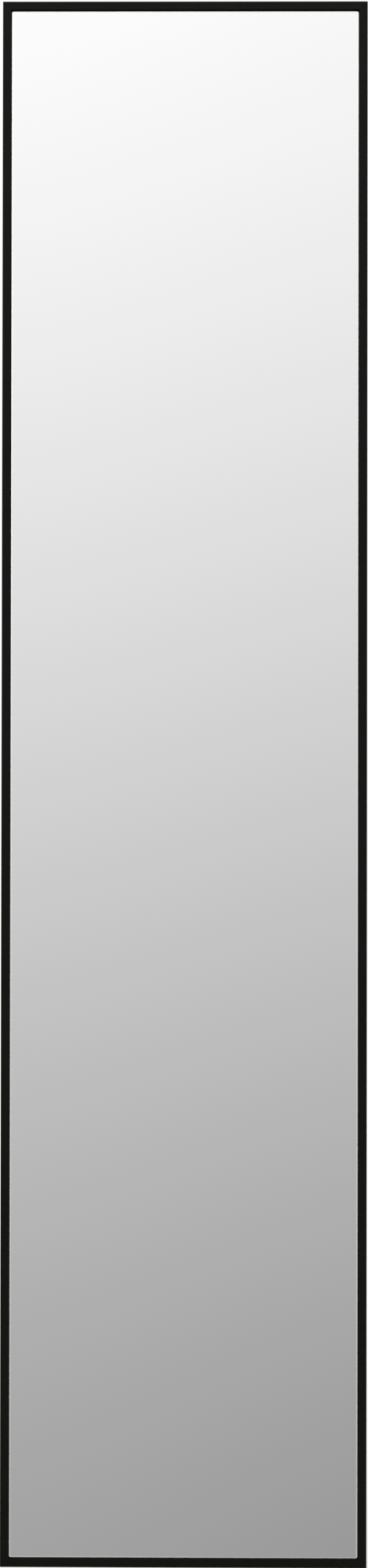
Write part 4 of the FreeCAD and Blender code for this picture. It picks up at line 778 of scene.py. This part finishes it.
# ==== Corner keys ====
# Die-cast zinc alloy angles inside the hollow bars, with two headless socket screws each that jam them tight.
# The casting is left as it comes: dull, a little rough and unevenly grey.
cast_alloy, tree, shader, place = finish("cast_alloy", Metallic=1.0)
DARK_CAST, PALE_CAST = (0.36, 0.37, 0.38, 1), (0.52, 0.53, 0.54, 1)
casting = use(tree, grain, Place=place, Size=0.0015)
flow = use(tree, grain, Place=place, Size=0.008)
feed(
    tree, shader,
    Base_Color=between(tree, flow["Tone"], DARK_CAST, PALE_CAST),
    Roughness=ranged(tree, casting["Tone"], 0.42, 0.62),
    Normal=raised(tree, casting["Height"], strength=0.4, distance=0.00015),
)
for end in ("top", "bottom"):
    dress(cast_alloy, f"corner_key_{end}_front", f"corner_key_{end}_rear")

grub_tree, given = shape_tree(
    "socket_grub_screw", Radius=0.002, Length=0.005, Pitch=0.0007, Across_Flats=0.002
)
SOCKET_OVER = 0.0004
SOCKET_BLANK_RADIUS = 0.003
SOCKET_DEPTH_SHARE = 0.4
pitch, length = given["Pitch"], given["Length"]
depth = calc(grub_tree, "MULTIPLY", pitch, SUNK_THREAD_DEPTH_SHARE)
stem = threaded(grub_tree, given["Radius"], depth, pitch, 0.0, length)
socket_end = calc(grub_tree, "MULTIPLY", length, -SOCKET_DEPTH_SHARE)
rings = [
    (0.0, SOCKET_OVER), (SOCKET_BLANK_RADIUS, SOCKET_OVER), (SOCKET_BLANK_RADIUS, socket_end),
    (0.0, socket_end),
]
driver = turned(grub_tree, rings, around=48, wave=hexagon_wave(given["Across Flats"]))
set_out(grub_tree, given, carved(grub_tree, stem, driver))
GRUB_LENGTH = 0.005
EDGE_TO_GRUB = 0.026
grub_low, grub_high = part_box("corner_key_grub_screws")
grub_depth = (grub_low.y + grub_high.y) / 2
panel_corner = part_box("front_stile")[1]
across, up = panel_corner.x - EDGE_TO_GRUB, panel_corner.z - EDGE_TO_GRUB
side_wall, end_wall = grub_high.x - GRUB_LENGTH, grub_high.z - GRUB_LENGTH
grub_places = []
for sx in (-1, 1):
    for sz in (-1, 1):
        grub_places.append(((across * sx, grub_depth, end_wall * sz), (0, 0, -sz)))
        grub_places.append(((side_wall * sx, grub_depth, up * sz), (-sx, 0, 0)))
make(
    "corner_grub_screws", grub_tree, grub_places, screw_zinc, "mirror_panel", "zinc_screws",
    "corner_key_grub_screws", Length=GRUB_LENGTH,
)

# ==== Mirror glass ====
# 4 mm float glass, silvered and painted on the back, with a ground 45 degree arris all round the front. The
# face is a true mirror. The arris is matt and scatters the light from in front, so its normal is turned that
# way; it shows as a fine pale line, with painted shade towards the top of the leading edge and a painted
# highlight at the opposite lower corner.
mirror, tree, shader, place = finish("silvered_glass")
SILVER = (0.86, 0.86, 0.86, 1)
DARK_PAINT, PALE_PAINT = (0.19, 0.20, 0.20, 1), (0.24, 0.25, 0.25, 1)
LIT_ARRIS, SHADED_ARRIS = (0.98, 1.0, 1.0, 1), (0.83, 0.85, 0.85, 1)
LOOKS_FORWARD, LOOKS_BACK = -0.95, 0.5
TALL_TO_WIDE, AT_CORNER = 4.0, 1.4
backward = axes(tree, own_normal(tree))[1]
face = calc(tree, "LESS_THAN", backward, LOOKS_FORWARD)
bright = calc(tree, "LESS_THAN", backward, LOOKS_BACK)
ground = calc(tree, "SUBTRACT", bright, face)
frost = use(tree, grain, Place=place, Size=0.0002)
paint = between(tree, frost["Tone"], DARK_PAINT, PALE_PAINT)
at = axes(tree, place)
# Painted light and shade along the arris: darkest at the top of the leading edge, lightest at the opposite
# lower corner.
across_panel = calc(tree, "MULTIPLY_ADD", at[0], TALL_TO_WIDE, at[2])
painted_shade_share = spread(tree, across_panel, -AT_CORNER, AT_CORNER, 0.0, 1.0)
arris = between(tree, painted_shade_share, LIT_ARRIS, SHADED_ARRIS)
forward = put(
    tree, "ShaderNodeVectorTransform", {0: (0.0, -1.0, 0.0)}, vector_type="NORMAL", convert_from="OBJECT",
    convert_to="WORLD",
).outputs[0]
plain = put(tree, "ShaderNodeNewGeometry").outputs["Normal"]
rough = calc(tree, "SUBTRACT", ranged(tree, frost["Tone"], 0.36, 0.44), face)
feed(
    tree, shader,
    Base_Color=between(tree, face, between(tree, ground, paint, arris), SILVER),
    Metallic=bright,
    Roughness=calc(tree, "MAXIMUM", rough, 0.0),
    Normal=put(tree, "ShaderNodeMix", {0: ground, 4: plain, 5: forward}, data_type="VECTOR").outputs[1],
)
dress(mirror, "mirror_glass")

# ==== Safety film ====
# A woven polypropylene film glued to the back of the glass, which holds the splinters if it breaks. It is
# milky white with the fine square weave of its tapes.
film, tree, shader, place = finish("woven_film")
HAZY, CLEAR = (0.66, 0.69, 0.72, 1), (0.76, 0.78, 0.80, 1)
WEAVE_PITCH = 0.0015


def tapes(tree, along):
    """Rounded ridges side by side, one for each tape of the weave."""
    return calc(tree, "ABSOLUTE", calc(tree, "SINE", calc(tree, "MULTIPLY", along, math.pi / WEAVE_PITCH)))


at = axes(tree, place)
weave = calc(tree, "MAXIMUM", tapes(tree, at[0]), tapes(tree, at[2]))
haze = use(tree, grain, Place=place, Size=0.01)
feed(
    tree, shader,
    Base_Color=between(tree, haze["Tone"], HAZY, CLEAR),
    Roughness=spread(tree, weave, 0.6, 1.0, 0.55, 0.38),
    Normal=raised(tree, weave, strength=0.5, distance=0.0001),
)
dress(film, "safety_film")

# ==== Foam tape, foam strips and setting blocks ====
# Closed-cell foam, die-cut in strips with a skin full of tiny bubbles. One tape runs round the frame's ledge
# under the glass, and two strips between the glass and the board keep the pane from drumming. The pane stands
# on two rubber blocks.
foam, tree, shader, place = finish("closed_cell_foam", Specular_IOR_Level=0.3)
DARK_FOAM, PALE_FOAM = (0.020, 0.020, 0.021, 1), (0.036, 0.036, 0.038, 1)
BUBBLE_RIM = (0.060, 0.060, 0.062, 1)
BUBBLES_A_METRE = 1500.0
cells = put(tree, "ShaderNodeTexVoronoi", {"Vector": place, "Scale": BUBBLES_A_METRE}).outputs[0]
cloud = use(tree, grain, Place=place, Size=0.012)
tone = between(tree, cloud["Tone"], DARK_FOAM, PALE_FOAM)
feed(
    tree, shader,
    Base_Color=between(tree, spread(tree, cells, 0.1, 0.5, 0.0, 1.0), tone, BUBBLE_RIM),
    Roughness=spread(tree, cells, 0.0, 0.6, 0.9, 0.7),
    Normal=raised(tree, cells, strength=0.6, distance=0.0003),
)


def signed_power(tree, value, power):
    """A power of the value's size, with the value's sign."""
    size = calc(tree, "POWER", calc(tree, "ABSOLUTE", value), power)
    return calc(tree, "MULTIPLY", calc(tree, "SIGN", value), size)


strip_tree, given = shape_tree("foam_strip", Width=0.02, Thickness=0.0032, Length=1.32, Wander=0.0002)
STRIP_RINGS = 120
EDGE_ROUNDING, FACE_ROUNDING = 0.12, 0.35
WANDERS_A_METRE = 60.0
END_MERGE = 3e-5
sheet, angle, ring = blank(strip_tree, around=40, rings=STRIP_RINGS)
up = calc(strip_tree, "DIVIDE", calc(strip_tree, "SUBTRACT", ring, 1.0), STRIP_RINGS - 3.0)
up = calc(strip_tree, "MINIMUM", calc(strip_tree, "MAXIMUM", up, 0.0), 1.0)
height = calc(strip_tree, "MULTIPLY", calc(strip_tree, "SUBTRACT", up, 0.5), given["Length"])
noise = {"Scale": WANDERS_A_METRE, "Detail": 2.0, "W": height}
noise = put(strip_tree, "ShaderNodeTexNoise", noise, noise_dimensions="1D").outputs[0]
stroll = calc(strip_tree, "MULTIPLY", noise, given["Wander"])
side = calc(strip_tree, "SUBTRACT", calc(strip_tree, "MULTIPLY", given["Width"], 0.5), stroll)
half_thick = calc(strip_tree, "MULTIPLY", given["Thickness"], 0.5)
across = signed_power(strip_tree, calc(strip_tree, "COSINE", angle), EDGE_ROUNDING)
through = signed_power(strip_tree, calc(strip_tree, "SINE", angle), FACE_ROUNDING)
# The first and the last ring shrink to a point each and close the ends.
from_middle = calc(strip_tree, "ABSOLUTE", calc(strip_tree, "SUBTRACT", ring, (STRIP_RINGS - 1) / 2))
within = calc(strip_tree, "LESS_THAN", from_middle, STRIP_RINGS / 2 - 1.0)
across = calc(strip_tree, "MULTIPLY", calc(strip_tree, "MULTIPLY", across, side), within)
through = calc(strip_tree, "MULTIPLY", calc(strip_tree, "MULTIPLY", through, half_thick), within)
place = put(strip_tree, "ShaderNodeCombineXYZ", {0: across, 1: through, 2: height}).outputs[0]
body = put(strip_tree, "GeometryNodeSetPosition", {"Geometry": sheet, "Position": place}).outputs[0]
body = put(strip_tree, "GeometryNodeMergeByDistance", {"Geometry": body, "Distance": END_MERGE}).outputs[0]
set_out(strip_tree, given, body, crease=50.0, spun=False)


def foam_piece(name, node, places, **sizes):
    """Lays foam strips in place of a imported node."""
    piece = make(name, strip_tree, places, foam, "mirror_panel", "foam", node, **sizes)


STRIP_WIDTH = 0.02
low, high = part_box("foam_strips")
middle = (low.y + high.y) / 2
foam_piece(
    "foam_anti_drum_strips", "foam_strips",
    [((x, middle, 0), UPWARD) for x in (low.x + STRIP_WIDTH / 2, high.x - STRIP_WIDTH / 2)],
    Width=STRIP_WIDTH, Thickness=high.y - low.y, Length=high.z - low.z,
)
TAPE_WIDTH = 0.009
ALONG_X = (1, 0, 0)
low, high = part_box("ledge_tape")
middle = (low.y + high.y) / 2
tape = {"Width": TAPE_WIDTH, "Thickness": high.y - low.y, "Wander": 0.0001}
foam_piece(
    "ledge_tape_upright", "ledge_tape",
    [((x, middle, 0), UPWARD) for x in (low.x + TAPE_WIDTH / 2, high.x - TAPE_WIDTH / 2)],
    Length=high.z - low.z, **tape,
)
foam_piece(
    "ledge_tape_level", "ledge_tape",
    [((0, middle, z), ALONG_X) for z in (low.z + TAPE_WIDTH / 2, high.z - TAPE_WIDTH / 2)],
    Length=high.x - low.x - 2 * TAPE_WIDTH, **tape,
)
dress(rubber, "glass_setting_blocks")

# ==== Back board ====
# 9 mm fibreboard with black melamine faces; the sawn edges and the screw holes show its brown fibres. It is
# screwed to the frame's ledge from behind with sixteen 3.5 mm countersunk screws.
fibreboard, tree, shader, place = finish("faced_fibreboard", Specular_IOR_Level=0.3)
MELAMINE, DUSTY_MELAMINE = (0.016, 0.016, 0.016, 1), (0.023, 0.022, 0.021, 1)
DARK_FIBRE, PALE_FIBRE = (0.17, 0.10, 0.05, 1), (0.30, 0.19, 0.10, 1)
SAWN_ROUGHER = 0.35
LOOKS_SIDEWAYS = 0.5
backward = axes(tree, own_normal(tree))[1]
sawn = calc(tree, "LESS_THAN", calc(tree, "ABSOLUTE", backward), LOOKS_SIDEWAYS)
fibres = use(tree, grain, Place=place, Size=0.0006, Stretch=(0.4, 1.0, 0.4))
pearl = use(tree, grain, Place=place, Size=0.0005)
cloud = use(tree, grain, Place=place, Size=0.05)
melamine = between(tree, cloud["Tone"], MELAMINE, DUSTY_MELAMINE)
brown = between(tree, fibres["Tone"], DARK_FIBRE, PALE_FIBRE)
relief = calc(tree, "ADD", pearl["Height"], calc(tree, "MULTIPLY", sawn, fibres["Height"]))
feed(
    tree, shader,
    Base_Color=between(tree, sawn, melamine, brown),
    Roughness=calc(tree, "MULTIPLY_ADD", sawn, SAWN_ROUGHER, ranged(tree, pearl["Tone"], 0.42, 0.56)),
    Normal=raised(tree, relief, strength=0.3, distance=0.0001),
)
dress(fibreboard, "back_board")
BOARD_SCREW_RADIUS = 0.00175
BOARD_HEAD_RADIUS = 0.0034
BOARD_SCREW_PITCH = 0.0013
SCREWS_A_SIDE = 6
BOARD_END_COLUMN = 0.116
BOARD_SIDE_END = 0.691
side_x = screw_columns("back_board_screws", BOARD_HEAD_RADIUS)[1]
end_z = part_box("back_board_screws")[1].z - BOARD_HEAD_RADIUS
rows = [-BOARD_SIDE_END + i * 2 * BOARD_SIDE_END / (SCREWS_A_SIDE - 1) for i in range(SCREWS_A_SIDE)]
board_spots = grid((-side_x, side_x), rows)
board_spots += [(x, z) for z in (-end_z, end_z) for x in (-BOARD_END_COLUMN, BOARD_END_COLUMN)]
sink(
    "board_screws_sunk", "back_board_screws", "mirror_panel", board_spots, TO_WALL,
    Head_Radius=BOARD_HEAD_RADIUS, Shank_Radius=BOARD_SCREW_RADIUS, Pitch=BOARD_SCREW_PITCH,
)

# ==== Studio ====
# A pale floor just under the panel, soft lamps, and a white room. The room that metal and glass see is white
# above and falls to grey below, is a little brighter on the left, and has a low glow on the right.
FLOOR_DROP = 0.05
FLOOR_REACH = 2.4
FLOOR_CORNERS = 96
FADE_START = 0.9
floor_height = cad_box[0].z - FLOOR_DROP
turns = [math.tau * i / FLOOR_CORNERS for i in range(FLOOR_CORNERS)]
corners = [(FLOOR_REACH * math.cos(turn), FLOOR_REACH * math.sin(turn), floor_height) for turn in turns]
floor_mesh = bpy.data.meshes.new("floor")
floor_mesh.from_pydata(corners, [], [list(range(FLOOR_CORNERS))])
floor = bpy.data.objects.new("floor", floor_mesh)
bpy.context.scene.collection.objects.link(floor)
pale, tree, shader, place = finish("pale_floor", Roughness=0.9, Specular_IOR_Level=0.1)
FLOOR_GREY, FLOOR_WHITE = (0.87, 0.87, 0.87, 1), (0.89, 0.89, 0.89, 1)
out = put(tree, "ShaderNodeVectorMath", {0: place}, operation="LENGTH").outputs["Value"]
feed(
    tree, shader,
    Base_Color=between(tree, use(tree, grain, Place=place, Size=0.4)["Tone"], FLOOR_GREY, FLOOR_WHITE),
    Alpha=spread(tree, out, FADE_START, FLOOR_REACH, 1.0, 0.0),
)
floor.data.materials.append(pale)
floor.visible_glossy = False
floor.visible_transmission = False

world = bpy.data.worlds.new("studio")
bpy.context.scene.world = world
world.use_nodes = True
world.cycles.sampling_method = "NONE"
room = world.node_tree
way = axes(room, put(room, "ShaderNodeTexCoord").outputs["Generated"])
MIDDLE_GREY, GREY_SWING = 0.8095, 0.6164
HORIZON, STEEPNESS = 0.071, 2.321
LEFT_LIFT, LEFT_STEEPNESS = 0.0439, 10.0
GLOW = 0.55
BRIGHTEST = 1.28
AMBIENT = 0.6
rise = calc(room, "TANH", calc(room, "MULTIPLY", calc(room, "SUBTRACT", way[2], HORIZON), STEEPNESS))
rise = calc(room, "MULTIPLY_ADD", rise, GREY_SWING, MIDDLE_GREY)
lean = calc(room, "MULTIPLY", calc(room, "TANH", calc(room, "MULTIPLY", way[0], LEFT_STEEPNESS)), -LEFT_LIFT)
to_right = spread(room, way[0], 0.1, 0.35, 0.0, GLOW)
below = spread(room, way[2], 0.1, -0.2, 0.0, 1.0)
glow = calc(room, "MULTIPLY", to_right, below)
seen = calc(room, "MINIMUM", calc(room, "ADD", calc(room, "ADD", rise, lean), glow), BRIGHTEST)
path = put(room, "ShaderNodeLightPath").outputs
mirrored = calc(room, "MAXIMUM", path["Is Glossy Ray"], path["Is Transmission Ray"])
plain = calc(room, "MULTIPLY_ADD", path["Is Camera Ray"], 1.0 - AMBIENT, AMBIENT)
strength = put(room, "ShaderNodeMix", {0: mirrored, 2: plain, 3: seen}, data_type="FLOAT").outputs[0]
background = room.nodes["Background"]
background.inputs["Color"].default_value = (1, 1, 1, 1)
room.links.new(strength, background.inputs["Strength"])

LAMP_WIDTH = 4.0
KEY_WATTS, FILL_WATTS = 57.0, 37.0


def lamp(name, place, watts):
    """A soft square lamp that faces the middle of the object."""
    light = bpy.data.lights.new(name, "AREA")
    light.size = LAMP_WIDTH
    light.energy = watts
    holder = bpy.data.objects.new(name, light)
    holder.location = place
    holder.rotation_euler = (-Vector(place)).to_track_quat("-Z", "Y").to_euler()
    bpy.context.scene.collection.objects.link(holder)


lamp("front_lamp_left", (-2.0, -2.4, 2.4), KEY_WATTS)
lamp("front_lamp_right", (2.2, -2.2, 2.2), FILL_WATTS)
lamp("rear_lamp_left", (2.0, 2.4, 2.4), KEY_WATTS)
lamp("rear_lamp_right", (-2.2, 2.2, 2.2), FILL_WATTS)

# The camera stands two and a half metres off at half the mirror's height and looks almost straight at it.
camera = bpy.data.cameras.new("camera")
camera.sensor_width = 36.0
camera.lens = 58.866
eye = bpy.data.objects.new("camera", camera)
eye.location = (0.0194, -2.5, -0.0229)
eye.rotation_euler = (math.radians(90.501), math.radians(-0.087), math.radians(0.455))
bpy.context.scene.collection.objects.link(eye)
bpy.context.scene.camera = eye
bpy.context.scene.view_settings.view_transform = "Standard"
